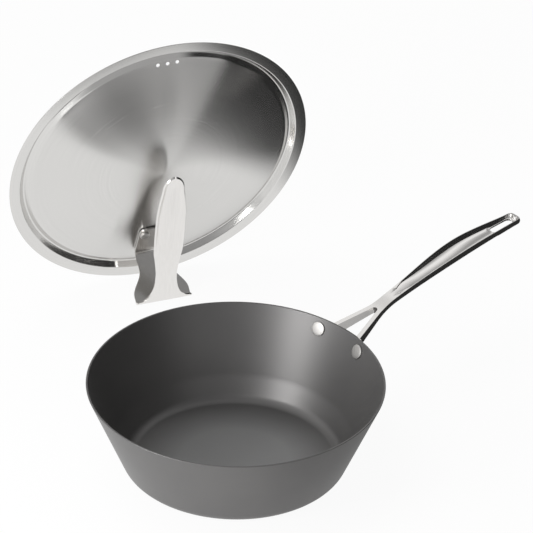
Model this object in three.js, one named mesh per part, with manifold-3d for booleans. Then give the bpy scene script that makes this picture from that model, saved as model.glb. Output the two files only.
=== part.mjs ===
// A stir fry pan with a riveted fork handle, and its steel lid standing beside it on the fold of its own handle.
// Millimetres, +Z up. The origin is the centre of the pan's base on the surface, and +X runs out along its handle.

import * as THREE from 'three';
import { mergeVertices } from 'three/addons/utils/BufferGeometryUtils.js';
import Module from 'manifold-3d';

const wasm = await Module();
wasm.setup();

// Pan: a straight flared wall on a flat base
const PAN_RIM_RADIUS = 150;
const PAN_HEIGHT = 94;
const WALL_LEAN = THREE.MathUtils.degToRad(23.5);
const WALL_THICKNESS = 2;
const FLOOR_THICKNESS = 4;
const BASE_CORNER_RADIUS = 18;
const FLOOR_CORNER_RADIUS = 11;

// Pan rivets: one through each foot of the handle's fork
const RIVET_DROP = 11;
const RIVET_SPACING = 57;
const RIVET_SHANK_RADIUS = 3;
const RIVET_HEAD_RADIUS = 6.2;
const RIVET_HEAD_HEIGHT = 1.8;
const RIVET_TAIL_RADIUS = 5;
const RIVET_TAIL_HEIGHT = 1.5;

// Pan handle: distances out from the rim, rises above the rim, and depths below the top edge
const PAD_RADIUS = 10.5;
const PAD_THICKNESS = 4;
const ARM_WIDTH = 5.2;
const ARM_SPACING = 35;
const ARM_DROP = 7.5;
const ARM_DEPTH = 12;
const CROTCH_OUT = 43.5;
const CROTCH_RISE = 5.5;
const CROTCH_DEPTH = 7;
const CROTCH_RADIUS = 3.5;
const NECK_OUT = 64;
const NECK_RISE = 11.5;
const NECK_WIDTH = 14.5;
const NECK_DEPTH = 6.2;
const GRIP_OUT = 154;
const GRIP_RISE = 30.3;
const GRIP_WIDTH = 24.5;
const GRIP_DEPTH = 6.5;
const TIP_OUT = 238;
const TIP_RISE = 32;
const TIP_WIDTH = 16;
const TIP_DEPTH = 5;
const TIP_CORNER_RADIUS = 5;
const CHANNEL_START_OUT = 70;
const CHANNEL_LIP = 2;
const CHANNEL_DEPTH = 3.4;
const HANG_SLOT_LENGTH = 28.5;
const HANG_SLOT_WIDTH = 10;
const HANG_SLOT_MARGIN = 7;

// Lid: a flat flange, a groove that drops inside the pan's rim, and a shallow dome
const LID_OVERHANG = 8;
const LID_SHEET = 1;
const LID_SEAT_CLEARANCE = 0.6;
const FLANGE_BEND_RADIUS = 1.6;
const GROOVE_DEPTH = 6.3;
const GROOVE_RUN = 5.2;
const GROOVE_BEND_RADIUS = 1.8;
const SHOULDER_RUN = 5;
const SHOULDER_RISE = 4;
const SHOULDER_BEND_RADIUS = 6;
const DOME_RISE = 20.5;
const VENT_COUNT = 3;
const VENT_RADIUS = 2;
const VENT_PITCH = 10.3;
const VENT_INSET = 4.5;

// Lid handle: one bent strip, with a plate on the dome, a fold that is also the lid's foot, and a dished grip
const STRIP_SHEET = 2;
const PLATE_REACH = 100;
const PLATE_INNER_LENGTH = 20;
const PLATE_OUTER_LENGTH = 21;
const PLATE_WIDTH = 34;
const PLATE_CORNER_RADIUS = 7;
const PLATE_BEND_RADIUS = 5;
const PLATE_STRAIGHT = 20;
const PLATE_FLARE = 26;
const FOLD_OVERHANG = 8.8;
const FOLD_HEIGHT = 54;
const FOLD_WIDTH = 58;
const FOLD_BEND_RADIUS = 3;
const FOLD_BAND = 5;
const NECK_FROM_FOLD = 38;
const LID_NECK_WIDTH = 22;
const LID_GRIP_FROM_FOLD = 104;
const LID_GRIP_WIDTH = 31;
const LID_GRIP_LENGTH = 168;
const LID_TIP_WIDTH = 24.4;
const LID_TIP_ROUND = 17;
const LID_TIP_HEIGHT = 48;
const DISH_START = 26;
const DISH_DEPTH = 3.6;
const DISH_CURVE_RADIUS = 36;
const LID_RIVET_BACK = 10;
const LID_RIVET_MARGIN = 6;
const LID_RIVET_SHANK_RADIUS = 2.4;
const LID_RIVET_HEAD_RADIUS = 5;
const LID_RIVET_HEAD_HEIGHT = 2;
const LID_RIVET_TAIL_RADIUS = 4.4;
const LID_RIVET_TAIL_HEIGHT = 1.2;

// Where the lid stands beside the pan: its bearing from the handle, its distance, and the way it faces
const LID_BEARING = THREE.MathUtils.degToRad(60.8);
const LID_STAND_OFF = 175;
const LID_FACING = THREE.MathUtils.degToRad(-113.7);

// Gap kept between pieces that touch, and the steps that round forms are drawn with
const SEAT_GAP = 0.3;
const ROUND_SEGMENTS = 64;
const SMALL_SEGMENTS = 20;
const BEND_STEPS = 3;
const DOME_STEPS = 6;
const SPLINE_STEPS = 26;

// Solids: closed three.js geometry to a solid that can be joined and cut, and back again
function solidOf(geometry) {
  const bare = geometry.clone();
  bare.deleteAttribute('normal');
  bare.deleteAttribute('uv');
  const merged = mergeVertices(bare, 1e-4);
  const index = merged.index.array;
  const corners = [];
  for (let i = 0; i < index.length; i += 3) {
    const [a, b, c] = [index[i], index[i + 1], index[i + 2]];
    if (a !== b && b !== c && c !== a) {
      corners.push(a, b, c);
    }
  }
  const mesh = new wasm.Mesh({
    numProp: 3,
    vertProperties: Float32Array.from(merged.attributes.position.array),
    triVerts: Uint32Array.from(corners),
  });
  return new wasm.Manifold(mesh);
}

function geometryOf(solid) {
  const mesh = solid.getMesh();
  const geometry = new THREE.BufferGeometry();
  geometry.setAttribute('position', new THREE.BufferAttribute(Float32Array.from(mesh.vertProperties), 3));
  geometry.setIndex(new THREE.BufferAttribute(Uint32Array.from(mesh.triVerts), 1));
  geometry.computeVertexNormals();
  return geometry;
}

function named(name, geometry, material) {
  const mesh = new THREE.Mesh(geometry, material);
  mesh.name = name;
  return mesh;
}

// A profile of [radius, height] points, counter-clockwise, turned about Z
function turned(profile, segments) {
  const points = profile.map(([radius, height]) => new THREE.Vector2(Math.max(radius, 0), height));
  return new THREE.LatheGeometry(points, segments).rotateX(Math.PI / 2);
}

// An outline in the XY plane, raised from one height to another
function raised(outline, low, high) {
  const shape = new THREE.Shape(outline.map(([x, y]) => new THREE.Vector2(x, y)));
  return new THREE.ExtrudeGeometry(shape, { depth: high - low, bevelEnabled: false }).translate(0, 0, low);
}

// An outline in the XZ plane, as wide as given along Y and centred on it
function widened(outline, width) {
  const shape = new THREE.Shape(outline.map(([x, z]) => new THREE.Vector2(x, z)));
  const geometry = new THREE.ExtrudeGeometry(shape, { depth: width, bevelEnabled: false });
  return geometry.rotateX(Math.PI / 2).translate(0, width / 2, 0);
}

// Corners [x, y, bend radius] made into stops along a line with round bends, each with its left-hand normal
function roundedPath(corners) {
  const stops = [];
  const direction = (from, to) => new THREE.Vector2(to[0] - from[0], to[1] - from[1]).normalize();
  const stop = (point, along) => stops.push({ point, normal: new THREE.Vector2(-along.y, along.x) });
  corners.forEach((corner, i) => {
    const here = new THREE.Vector2(corner[0], corner[1]);
    const before = i > 0 ? direction(corners[i - 1], corner) : null;
    const after = i < corners.length - 1 ? direction(corner, corners[i + 1]) : null;
    if (!before || !after) {
      stop(here, before ?? after);
      return;
    }
    const turn = Math.atan2(before.cross(after), before.dot(after));
    const radius = corner[2];
    const cutBack = radius * Math.tan(Math.abs(turn) / 2);
    const start = here.clone().addScaledVector(before, -cutBack);
    const side = new THREE.Vector2(-before.y, before.x).multiplyScalar(Math.sign(turn) * radius);
    const centre = start.clone().add(side);
    for (let step = 0; step <= BEND_STEPS; step += 1) {
      const angle = (turn * step) / BEND_STEPS;
      const origin = new THREE.Vector2();
      const point = start.clone().rotateAround(centre, angle);
      stop(point, before.clone().rotateAround(origin, angle));
    }
  });
  return stops;
}

function centreOfBend(corners, i) {
  const here = new THREE.Vector2(...corners[i]);
  const back = new THREE.Vector2(...corners[i - 1]).sub(here).normalize();
  const ahead = new THREE.Vector2(...corners[i + 1]).sub(here).normalize();
  const halfAngle = back.angleTo(ahead) / 2;
  const bisector = back.add(ahead).normalize();
  return here.addScaledVector(bisector, corners[i][2] / Math.sin(halfAngle));
}

function outlineOf(stops) {
  return stops.map(({ point }) => [point.x, point.y]);
}

// The closed outline of a sheet of even thickness, bent along the stops
function sheetOutline(stops, thickness) {
  const side = (reach) => stops.map(({ point, normal }) => [
    point.x + normal.x * reach,
    point.y + normal.y * reach,
  ]);
  return [...side(-thickness / 2), ...side(thickness / 2).reverse()];
}

function smooth(points, steps = SPLINE_STEPS) {
  const curve = new THREE.SplineCurve(points.map(([x, y]) => new THREE.Vector2(x, y)));
  return curve.getPoints(steps).map(({ x, y }) => [x, y]);
}

// A half outline on the +Y side, closed by its mirror image
function mirrored(half) {
  return [...half, ...half.map(([x, y]) => [x, -y]).reverse()];
}

// A domed head, a shank and a flat tail on one axis. The head's seat is at zero and the tail lies below it.
function rivet({ headRadius, headHeight, shankRadius, grip, tailRadius, tailHeight }) {
  const domeRadius = (headRadius ** 2 + headHeight ** 2) / (2 * headHeight);
  const domeAngle = Math.asin(headRadius / domeRadius);
  const dome = [];
  for (let step = 0; step <= BEND_STEPS; step += 1) {
    const angle = domeAngle * (1 - step / BEND_STEPS);
    dome.push([domeRadius * Math.sin(angle), headHeight - domeRadius * (1 - Math.cos(angle))]);
  }
  const profile = [
    [0, -grip - tailHeight],
    [tailRadius, -grip - tailHeight],
    [tailRadius, -grip],
    [shankRadius, -grip],
    [shankRadius, 0],
    ...dome,
  ];
  return turned(profile, SMALL_SEGMENTS);
}

// A long outline along X with round ends, between two places
function pill(low, high, half) {
  const middle = (low + high) / 2;
  return outlineOf(roundedPath([
    [middle, -half],
    [high, -half, half],
    [high, half, half],
    [low, half, half],
    [low, -half, half],
    [middle, -half],
  ])).slice(0, -1);
}

function rod(radius, low, high) {
  return raised(Array.from({ length: SMALL_SEGMENTS }, (unused, i) => {
    const angle = (2 * Math.PI * i) / SMALL_SEGMENTS;
    return [radius * Math.cos(angle), radius * Math.sin(angle)];
  }), low, high);
}

// Pan geometry shared by its body, handle and rivets
const wallRadiusAt = (height) => PAN_RIM_RADIUS - (PAN_HEIGHT - height) * Math.tan(WALL_LEAN);
const WALL_ACROSS = WALL_THICKNESS / Math.cos(WALL_LEAN);
const RIM_INNER_RADIUS = PAN_RIM_RADIUS - WALL_ACROSS;
const RIVET_HEIGHT = PAN_HEIGHT - RIVET_DROP;
const RIVET_TURN = Math.asin(RIVET_SPACING / 2 / wallRadiusAt(RIVET_HEIGHT));
const FACET_SAG = PAN_RIM_RADIUS * (1 - Math.cos(Math.PI / ROUND_SEGMENTS));

// Places geometry made about Z on the wall at a rivet, with +Z pointing out of the pan, square to the wall
function onWall(geometry, turn) {
  return geometry
    .rotateY(Math.PI / 2 + WALL_LEAN)
    .translate(wallRadiusAt(RIVET_HEIGHT), 0, RIVET_HEIGHT)
    .rotateZ(turn);
}

function panBody() {
  const outside = roundedPath([
    [0, 0],
    [wallRadiusAt(0), 0, BASE_CORNER_RADIUS],
    [PAN_RIM_RADIUS, PAN_HEIGHT],
  ]);
  const inside = roundedPath([
    [RIM_INNER_RADIUS, PAN_HEIGHT],
    [wallRadiusAt(FLOOR_THICKNESS) - WALL_ACROSS, FLOOR_THICKNESS, FLOOR_CORNER_RADIUS],
    [0, FLOOR_THICKNESS],
  ]);
  let body = solidOf(turned([...outlineOf(outside), ...outlineOf(inside)], ROUND_SEGMENTS));
  for (const turn of [-RIVET_TURN, RIVET_TURN]) {
    const hole = rod(RIVET_SHANK_RADIUS + SEAT_GAP, -3 * WALL_THICKNESS, 2 * WALL_THICKNESS);
    body = body.subtract(solidOf(onWall(hole, turn)));
  }
  return geometryOf(body);
}

// The rivet's head is inside the pan, so its length runs from the pan's inner wall out past the handle's pad
function panRivet(turn) {
  const headStandOff = SEAT_GAP + FACET_SAG + RIVET_HEAD_RADIUS ** 2 / (2 * wallRadiusAt(RIVET_HEIGHT));
  const piece = rivet({
    headRadius: RIVET_HEAD_RADIUS,
    headHeight: RIVET_HEAD_HEIGHT,
    shankRadius: RIVET_SHANK_RADIUS,
    grip: headStandOff + WALL_THICKNESS + SEAT_GAP + PAD_THICKNESS + SEAT_GAP,
    tailRadius: RIVET_TAIL_RADIUS,
    tailHeight: RIVET_TAIL_HEIGHT,
  });
  return onWall(piece.rotateX(Math.PI).translate(0, 0, -WALL_THICKNESS - headStandOff), turn);
}

// The angle between each arm and the handle's line: the arms are at their spacing where they cross the rim,
// and run past the round crotch on either side
function armLean() {
  const run = CROTCH_OUT - CROTCH_RADIUS;
  const offset = CROTCH_RADIUS + ARM_WIDTH / 2;
  return Math.acos(offset / Math.hypot(run, ARM_SPACING / 2)) - Math.atan2(run, ARM_SPACING / 2);
}

function panHandle() {
  const rim = PAN_RIM_RADIUS;
  const padCentre = wallRadiusAt(RIVET_HEIGHT) * Math.cos(RIVET_TURN);
  const armStart = padCentre - PAD_THICKNESS;
  const crotchCentre = rim + CROTCH_OUT - CROTCH_RADIUS;
  const lean = armLean();
  const armLineAt = (x, offset) => offset / Math.cos(lean) + (crotchCentre - x) * Math.tan(lean);

  // Side view: the top edge climbs from the wall and levels out towards the tip
  const levels = [
    [armStart, -ARM_DROP, ARM_DEPTH],
    [rim + CROTCH_OUT, CROTCH_RISE, CROTCH_DEPTH],
    [rim + NECK_OUT, NECK_RISE, NECK_DEPTH],
    [rim + GRIP_OUT, GRIP_RISE, GRIP_DEPTH],
    [rim + TIP_OUT, TIP_RISE, TIP_DEPTH],
  ];
  const edgeAt = (share) => smooth(levels.map(([x, rise, depth]) => [x, PAN_HEIGHT + rise - share(depth)]));
  const top = edgeAt(() => 0);
  const bottom = edgeAt((depth) => depth);
  const sideView = solidOf(widened([...bottom, ...top.reverse()], 3 * RIVET_SPACING));

  // Plan view: two arms that run together at the crotch, a narrow neck, and a grip that swells and tapers
  const shoulderOut = TIP_OUT - TIP_CORNER_RADIUS;
  const armOuter = (x) => [x, armLineAt(x, CROTCH_RADIUS + ARM_WIDTH)];
  const outerEdge = smooth([
    armOuter(armStart),
    armOuter(rim),
    armOuter(crotchCentre),
    [rim + NECK_OUT, NECK_WIDTH / 2],
    [rim + GRIP_OUT, GRIP_WIDTH / 2],
    [rim + shoulderOut, TIP_WIDTH / 2],
  ]);
  const tipEdge = outlineOf(roundedPath([
    [rim + shoulderOut, TIP_WIDTH / 2],
    [rim + TIP_OUT, TIP_WIDTH / 2, Math.min(TIP_CORNER_RADIUS, TIP_WIDTH / 2)],
    [rim + TIP_OUT, 0],
  ])).slice(1, -1);
  const planView = mirrored([...outerEdge, ...tipEdge]);
  const gapStart = armStart - ARM_WIDTH;
  const forkGap = outlineOf(roundedPath([
    [gapStart, armLineAt(gapStart, CROTCH_RADIUS)],
    [crotchCentre + CROTCH_RADIUS / Math.sin(lean), 0, CROTCH_RADIUS],
    [gapStart, -armLineAt(gapStart, CROTCH_RADIUS)],
  ]));
  const ceiling = PAN_HEIGHT + 2 * TIP_RISE;
  let handle = solidOf(raised(planView, 0, ceiling)).intersect(sideView);
  handle = handle.subtract(solidOf(raised(forkGap.reverse(), 0, ceiling)));

  // The channel along the grip, whose floor follows the top edge
  const channelEdge = outerEdge
    .filter(([x]) => x > rim + CHANNEL_START_OUT)
    .map(([x, y]) => [x, y - CHANNEL_LIP]);
  const channelEnd = rim + TIP_OUT - CHANNEL_LIP;
  const channelPlan = mirrored([
    [rim + CHANNEL_START_OUT, NECK_WIDTH / 4],
    ...channelEdge.filter(([x]) => x < channelEnd),
    [channelEnd, TIP_WIDTH / 2 - 2 * CHANNEL_LIP],
  ]);
  const floor = edgeAt(() => CHANNEL_DEPTH);
  const above = [...floor, [rim + TIP_OUT, ceiling], [floor[0][0], ceiling]];
  const channel = solidOf(raised(channelPlan, 0, ceiling)).intersect(solidOf(widened(above, 2 * GRIP_WIDTH)));
  handle = handle.subtract(channel);

  // The hang slot, a long hole with round ends
  const slotEnd = rim + TIP_OUT - HANG_SLOT_MARGIN;
  const slot = pill(slotEnd - HANG_SLOT_LENGTH, slotEnd, HANG_SLOT_WIDTH / 2);
  handle = handle.subtract(solidOf(raised(slot, 0, ceiling)));

  // A foot on each arm turns out along the wall to its rivet, and its face follows the wall
  const footRun = RIVET_SPACING / 2 - armLineAt(padCentre, CROTCH_RADIUS + ARM_WIDTH / 2);
  const footOutline = pill(-footRun - PAD_RADIUS, PAD_RADIUS, PAD_RADIUS);
  for (const turn of [-RIVET_TURN, RIVET_TURN]) {
    const foot = raised(footOutline, -WALL_THICKNESS, PAD_THICKNESS + SEAT_GAP);
    handle = handle.add(solidOf(onWall(foot.rotateZ((Math.sign(turn) * Math.PI) / 2), turn)));
  }
  const wallGap = SEAT_GAP / Math.cos(WALL_LEAN);
  const wallSide = [
    [0, 0],
    [wallRadiusAt(0) + wallGap, 0],
    [PAN_RIM_RADIUS + wallGap, PAN_HEIGHT],
    [0, PAN_HEIGHT],
  ];
  handle = handle.subtract(solidOf(turned(wallSide, ROUND_SEGMENTS)));
  for (const turn of [-RIVET_TURN, RIVET_TURN]) {
    const hole = rod(RIVET_SHANK_RADIUS + SEAT_GAP, -PAD_THICKNESS, 3 * PAD_THICKNESS);
    const tailRoom = rod(RIVET_TAIL_RADIUS + SEAT_GAP, PAD_THICKNESS + SEAT_GAP, 4 * PAD_THICKNESS);
    handle = handle.subtract(solidOf(onWall(hole, turn))).subtract(solidOf(onWall(tailRoom, turn)));
  }
  return geometryOf(handle);
}

// Lid geometry, in the lid's own frame: +Z out of its top along its axis, zero at the top of the flange,
// and +X towards the foot of its handle
const LID_RADIUS = PAN_RIM_RADIUS + LID_OVERHANG;
const SEAT_RADIUS = RIM_INNER_RADIUS - LID_SEAT_CLEARANCE;
const GROOVE_LEAN = Math.atan2(GROOVE_RUN, GROOVE_DEPTH);
const FLANGE_INNER_RADIUS = SEAT_RADIUS - LID_SHEET / Math.cos(GROOVE_LEAN) + LID_SHEET * Math.tan(GROOVE_LEAN);
const GROOVE_RADIUS = FLANGE_INNER_RADIUS - GROOVE_RUN;
const DOME_EDGE_RADIUS = GROOVE_RADIUS - SHOULDER_RUN;
const DOME_EDGE_HEIGHT = SHOULDER_RISE - GROOVE_DEPTH;
const DOME_CAP = DOME_RISE - DOME_EDGE_HEIGHT;
const DOME_RADIUS = (DOME_EDGE_RADIUS ** 2 + DOME_CAP ** 2) / (2 * DOME_CAP);
const DOME_EDGE_ANGLE = Math.asin(DOME_EDGE_RADIUS / DOME_RADIUS);
const DOME_SAG = DOME_RADIUS * (1 - Math.cos(DOME_EDGE_ANGLE / DOME_STEPS / 2));
const domeHeightAt = (reach) => DOME_RISE - DOME_RADIUS + Math.sqrt(DOME_RADIUS ** 2 - reach ** 2);

// The handle's plate lies in the plane that touches the dome at this place
const PLATE_SLOPE = Math.asin(PLATE_REACH / DOME_RADIUS);
const PLATE_HEIGHT = domeHeightAt(PLATE_REACH);
const LID_RIVET_SPACING = PLATE_WIDTH - 2 * LID_RIVET_MARGIN;
const plateDropAt = (along, across) => (along ** 2 + across ** 2) / (2 * DOME_RADIUS);

// Places geometry made about Z on the plate, with +Z square to it and zero on the dome
function onPlate(geometry, along, across) {
  return geometry
    .translate(along, across, 0)
    .rotateY(PLATE_SLOPE)
    .translate(PLATE_REACH, 0, PLATE_HEIGHT);
}

function lidPanel() {
  const sheet = roundedPath([
    [LID_RADIUS, 0],
    [FLANGE_INNER_RADIUS, 0, FLANGE_BEND_RADIUS],
    [GROOVE_RADIUS, -GROOVE_DEPTH, GROOVE_BEND_RADIUS],
    [DOME_EDGE_RADIUS, DOME_EDGE_HEIGHT, SHOULDER_BEND_RADIUS],
    [0, DOME_EDGE_HEIGHT + DOME_EDGE_RADIUS * Math.tan(DOME_EDGE_ANGLE)],
  ]).slice(0, -1);
  for (let step = 1; step <= DOME_STEPS; step += 1) {
    const angle = DOME_EDGE_ANGLE * (1 - step / DOME_STEPS);
    const normal = new THREE.Vector2(-Math.sin(angle), -Math.cos(angle));
    const point = new THREE.Vector2(-normal.x, -normal.y).multiplyScalar(DOME_RADIUS);
    point.y += DOME_RISE - DOME_RADIUS;
    sheet.push({ point, normal });
  }
  const topFace = sheet.map(({ point }) => [point.x, point.y]);
  const underside = sheet.map(({ point, normal }) => [
    point.x + normal.x * LID_SHEET,
    point.y + normal.y * LID_SHEET,
  ]);
  let panel = solidOf(turned([...underside.reverse(), ...topFace], ROUND_SEGMENTS));
  for (let i = 0; i < VENT_COUNT; i += 1) {
    const across = (i - (VENT_COUNT - 1) / 2) * VENT_PITCH;
    const vent = rod(VENT_RADIUS, -DOME_RISE, DOME_RISE).translate(VENT_INSET - DOME_EDGE_RADIUS, across, 0);
    panel = panel.subtract(solidOf(vent));
  }
  for (const across of [-LID_RIVET_SPACING / 2, LID_RIVET_SPACING / 2]) {
    const hole = rod(LID_RIVET_SHANK_RADIUS + SEAT_GAP, -4 * STRIP_SHEET, 4 * STRIP_SHEET);
    panel = panel.subtract(solidOf(onPlate(hole, -LID_RIVET_BACK, across)));
  }
  return geometryOf(panel);
}

// The strip's centre line in side view, from the plate's end on the dome, round the fold, to the grip's tip
const PLATE_LIFT = SEAT_GAP + STRIP_SHEET / 2;
const alongPlate = (along) => [
  PLATE_REACH + along * Math.cos(PLATE_SLOPE) + PLATE_LIFT * Math.sin(PLATE_SLOPE),
  PLATE_HEIGHT - along * Math.sin(PLATE_SLOPE) + PLATE_LIFT * Math.cos(PLATE_SLOPE),
];
const FOLD_REACH = LID_RADIUS - FOLD_OVERHANG;
const STRIP_LINE = [
  alongPlate(-PLATE_INNER_LENGTH),
  [...alongPlate(PLATE_OUTER_LENGTH), PLATE_BEND_RADIUS],
  [FOLD_REACH, FOLD_HEIGHT, FOLD_BEND_RADIUS],
  [FOLD_REACH - LID_GRIP_LENGTH, LID_TIP_HEIGHT],
];
const [, PLATE_BEND, FOLD_CORNER, GRIP_END] = STRIP_LINE;
const RISE_ANGLE = Math.atan2(FOLD_CORNER[1] - PLATE_BEND[1], FOLD_CORNER[0] - PLATE_BEND[0]);
const RISE_LENGTH = Math.hypot(FOLD_CORNER[0] - PLATE_BEND[0], FOLD_CORNER[1] - PLATE_BEND[1]);
const GRIP_ANGLE = Math.atan2(FOLD_CORNER[1] - GRIP_END[1], FOLD_CORNER[0] - GRIP_END[0]);

// Places geometry drawn from the fold along -X, with +Z out of the grip's top, on the grip's own line
function onGrip(geometry) {
  return geometry.rotateY(-GRIP_ANGLE).translate(FOLD_CORNER[0], 0, FOLD_CORNER[1]);
}

// Half outlines of the grip seen square to its top, from the fold towards the tip along -X
const FLARE_EDGE = new THREE.QuadraticBezierCurve(
  new THREE.Vector2(-FOLD_BAND, FOLD_WIDTH / 2),
  new THREE.Vector2(-FOLD_BAND, LID_NECK_WIDTH / 2),
  new THREE.Vector2(-NECK_FROM_FOLD, LID_NECK_WIDTH / 2),
).getPoints(2 * BEND_STEPS).map(({ x, y }) => [x, y]);
const GRIP_EDGE = [
  [-DISH_START, LID_NECK_WIDTH / 2],
  ...smooth([
    [-NECK_FROM_FOLD, LID_NECK_WIDTH / 2],
    [-LID_GRIP_FROM_FOLD, LID_GRIP_WIDTH / 2],
    [LID_TIP_ROUND - LID_GRIP_LENGTH, LID_TIP_WIDTH / 2],
  ], 3 * BEND_STEPS),
  ...new THREE.EllipseCurve(
    LID_TIP_ROUND - LID_GRIP_LENGTH, 0, LID_TIP_ROUND, LID_TIP_WIDTH / 2, Math.PI / 2, Math.PI,
  ).getPoints(2 * BEND_STEPS).map(({ x, y }) => [x, y]).slice(1, -1),
];

// A spoon-shaped shell: its floor sinks from the neck to the grip and comes up again at the tip
function gripDish() {
  const axisHeight = STRIP_SHEET / 2 + DISH_CURVE_RADIUS - DISH_DEPTH;
  const floor = smooth([
    [axisHeight, -DISH_START],
    [axisHeight - STRIP_SHEET / 2 + DISH_DEPTH, -LID_GRIP_FROM_FOLD],
    [axisHeight - STRIP_SHEET / 2 + DISH_DEPTH, LID_TIP_ROUND - LID_GRIP_LENGTH],
    [axisHeight, -LID_GRIP_LENGTH - STRIP_SHEET],
  ], 5 * BEND_STEPS);
  const underside = floor.map(([radius, along]) => [radius + STRIP_SHEET, along]).reverse();
  const shell = turned([...floor, ...underside, floor[0]], ROUND_SEGMENTS)
    .rotateY(Math.PI / 2)
    .translate(0, 0, axisHeight);
  const seenFromTop = raised(mirrored(GRIP_EDGE).reverse(), -2 * DISH_DEPTH, 2 * DISH_DEPTH);
  return solidOf(onGrip(shell)).intersect(solidOf(onGrip(seenFromTop)));
}

function lidHandle() {
  const bandEnd = 2 * FOLD_BAND + FOLD_BEND_RADIUS;
  const stub = [
    FOLD_CORNER[0] - bandEnd * Math.cos(GRIP_ANGLE),
    FOLD_CORNER[1] - bandEnd * Math.sin(GRIP_ANGLE),
  ];
  const strip = sheetOutline(roundedPath([...STRIP_LINE.slice(0, 3), stub]), STRIP_SHEET);
  const bentStrip = solidOf(widened(strip, FOLD_WIDTH));

  // The plate, seen square to its rising part: straight, then flaring out to the fold's full width
  const flare = new THREE.CubicBezierCurve(
    new THREE.Vector2(PLATE_STRAIGHT, PLATE_WIDTH / 2),
    new THREE.Vector2(PLATE_STRAIGHT + PLATE_FLARE / 2, PLATE_WIDTH / 2),
    new THREE.Vector2(PLATE_STRAIGHT + PLATE_FLARE / 2, FOLD_WIDTH / 2),
    new THREE.Vector2(PLATE_STRAIGHT + PLATE_FLARE, FOLD_WIDTH / 2),
  ).getPoints(2 * BEND_STEPS).map(({ x, y }) => [x, y]);
  const plateLength = PLATE_INNER_LENGTH + PLATE_OUTER_LENGTH;
  const squareView = mirrored([[-plateLength, PLATE_WIDTH / 2], ...flare, [2 * RISE_LENGTH, FOLD_WIDTH / 2]]);
  const squareReach = plateLength + FOLD_HEIGHT;
  const squareTrim = raised(squareView.reverse(), -squareReach, squareReach)
    .rotateY(-RISE_ANGLE)
    .translate(PLATE_BEND[0], 0, PLATE_BEND[1]);

  // The plate's end on the dome has rounded corners
  const endView = mirrored(outlineOf(roundedPath([
    [-PLATE_INNER_LENGTH, 0],
    [-PLATE_INNER_LENGTH, PLATE_WIDTH / 2, PLATE_CORNER_RADIUS],
    [0, PLATE_WIDTH / 2],
  ])).slice(1).concat([[0, FOLD_WIDTH], [2 * RISE_LENGTH, FOLD_WIDTH]]));
  const endTrim = onPlate(raised(endView.reverse(), -squareReach, squareReach), 0, 0);
  const plate = bentStrip.intersect(solidOf(squareTrim)).intersect(solidOf(endTrim));

  // The flare runs in from the fold's band to the neck, and carries the grip
  const flareStrip = solidOf(onGrip(raised(mirrored(FLARE_EDGE).reverse(), -STRIP_SHEET / 2, STRIP_SHEET / 2)));
  let handle = plate.add(flareStrip).add(gripDish());
  for (const across of [-LID_RIVET_SPACING / 2, LID_RIVET_SPACING / 2]) {
    const hole = rod(LID_RIVET_SHANK_RADIUS + SEAT_GAP, -STRIP_SHEET, 3 * STRIP_SHEET);
    handle = handle.subtract(solidOf(onPlate(hole, -LID_RIVET_BACK, across)));
  }
  return geometryOf(handle);
}

// The head sits on the plate and the tail under the lid's sheet, which curves away below the plate
function lidRivet(across) {
  const seat = SEAT_GAP + STRIP_SHEET + SEAT_GAP;
  const tiltRoom = (LID_RIVET_TAIL_RADIUS * LID_RIVET_BACK) / DOME_RADIUS;
  const under = plateDropAt(LID_RIVET_BACK, across) + LID_SHEET + SEAT_GAP + tiltRoom + DOME_SAG;
  const piece = rivet({
    headRadius: LID_RIVET_HEAD_RADIUS,
    headHeight: LID_RIVET_HEAD_HEIGHT,
    shankRadius: LID_RIVET_SHANK_RADIUS,
    grip: seat + under,
    tailRadius: LID_RIVET_TAIL_RADIUS,
    tailHeight: LID_RIVET_TAIL_HEIGHT,
  });
  return onPlate(piece.translate(0, 0, seat), -LID_RIVET_BACK, across);
}

// The lean at which the rim's lowest point and the fold both touch the surface
function standingLean() {
  const centre = centreOfBend(STRIP_LINE, 2);
  const foldRadius = FOLD_BEND_RADIUS + STRIP_SHEET / 2;
  const back = LID_RADIUS - centre.x;
  return Math.acos(foldRadius / Math.hypot(back, centre.y)) - Math.atan2(centre.y, back);
}

// Finishes
const darkPan = new THREE.MeshStandardMaterial({ color: 0x4a4a4a, roughness: 0.55, metalness: 0.6 });
const polishedSteel = new THREE.MeshStandardMaterial({ color: 0xd6d5d2, roughness: 0.18, metalness: 1 });
const brushedSteel = new THREE.MeshStandardMaterial({ color: 0xcfcdc9, roughness: 0.35, metalness: 1 });

const pan = new THREE.Group();
pan.add(named('pan_body', panBody(), darkPan));
pan.add(named('pan_handle', panHandle(), polishedSteel.clone()));
pan.add(named('pan_rivet_left', panRivet(RIVET_TURN), polishedSteel.clone()));
pan.add(named('pan_rivet_right', panRivet(-RIVET_TURN), polishedSteel.clone()));

// The lid's own frame is tilted to stand on its rim and fold, then turned to face past the pan
const lid = new THREE.Group();
lid.rotation.y = Math.PI / 2 + standingLean();
lid.add(named('lid_panel', lidPanel(), brushedSteel));
lid.add(named('lid_handle', lidHandle(), polishedSteel.clone()));
lid.add(named('lid_rivet_left', lidRivet(-LID_RIVET_SPACING / 2), polishedSteel.clone()));
lid.add(named('lid_rivet_right', lidRivet(LID_RIVET_SPACING / 2), polishedSteel.clone()));

const lidPlace = new THREE.Group();
const lidDistance = PAN_RIM_RADIUS + LID_STAND_OFF;
lidPlace.position.set(
  lidDistance * Math.cos(LID_BEARING),
  lidDistance * Math.sin(LID_BEARING),
  LID_RADIUS * Math.cos(standingLean()),
);
lidPlace.rotation.z = LID_FACING;
lidPlace.add(lid);

const object = new THREE.Group();
object.add(pan);
object.add(lidPlace);

export default object;
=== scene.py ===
"""A dark stir fry pan with a riveted fork handle, and its steel lid standing on the fold of its handle.

Metres, +Z up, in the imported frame: the origin is the centre of the pan's base, +X out along its handle.
"""

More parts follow.
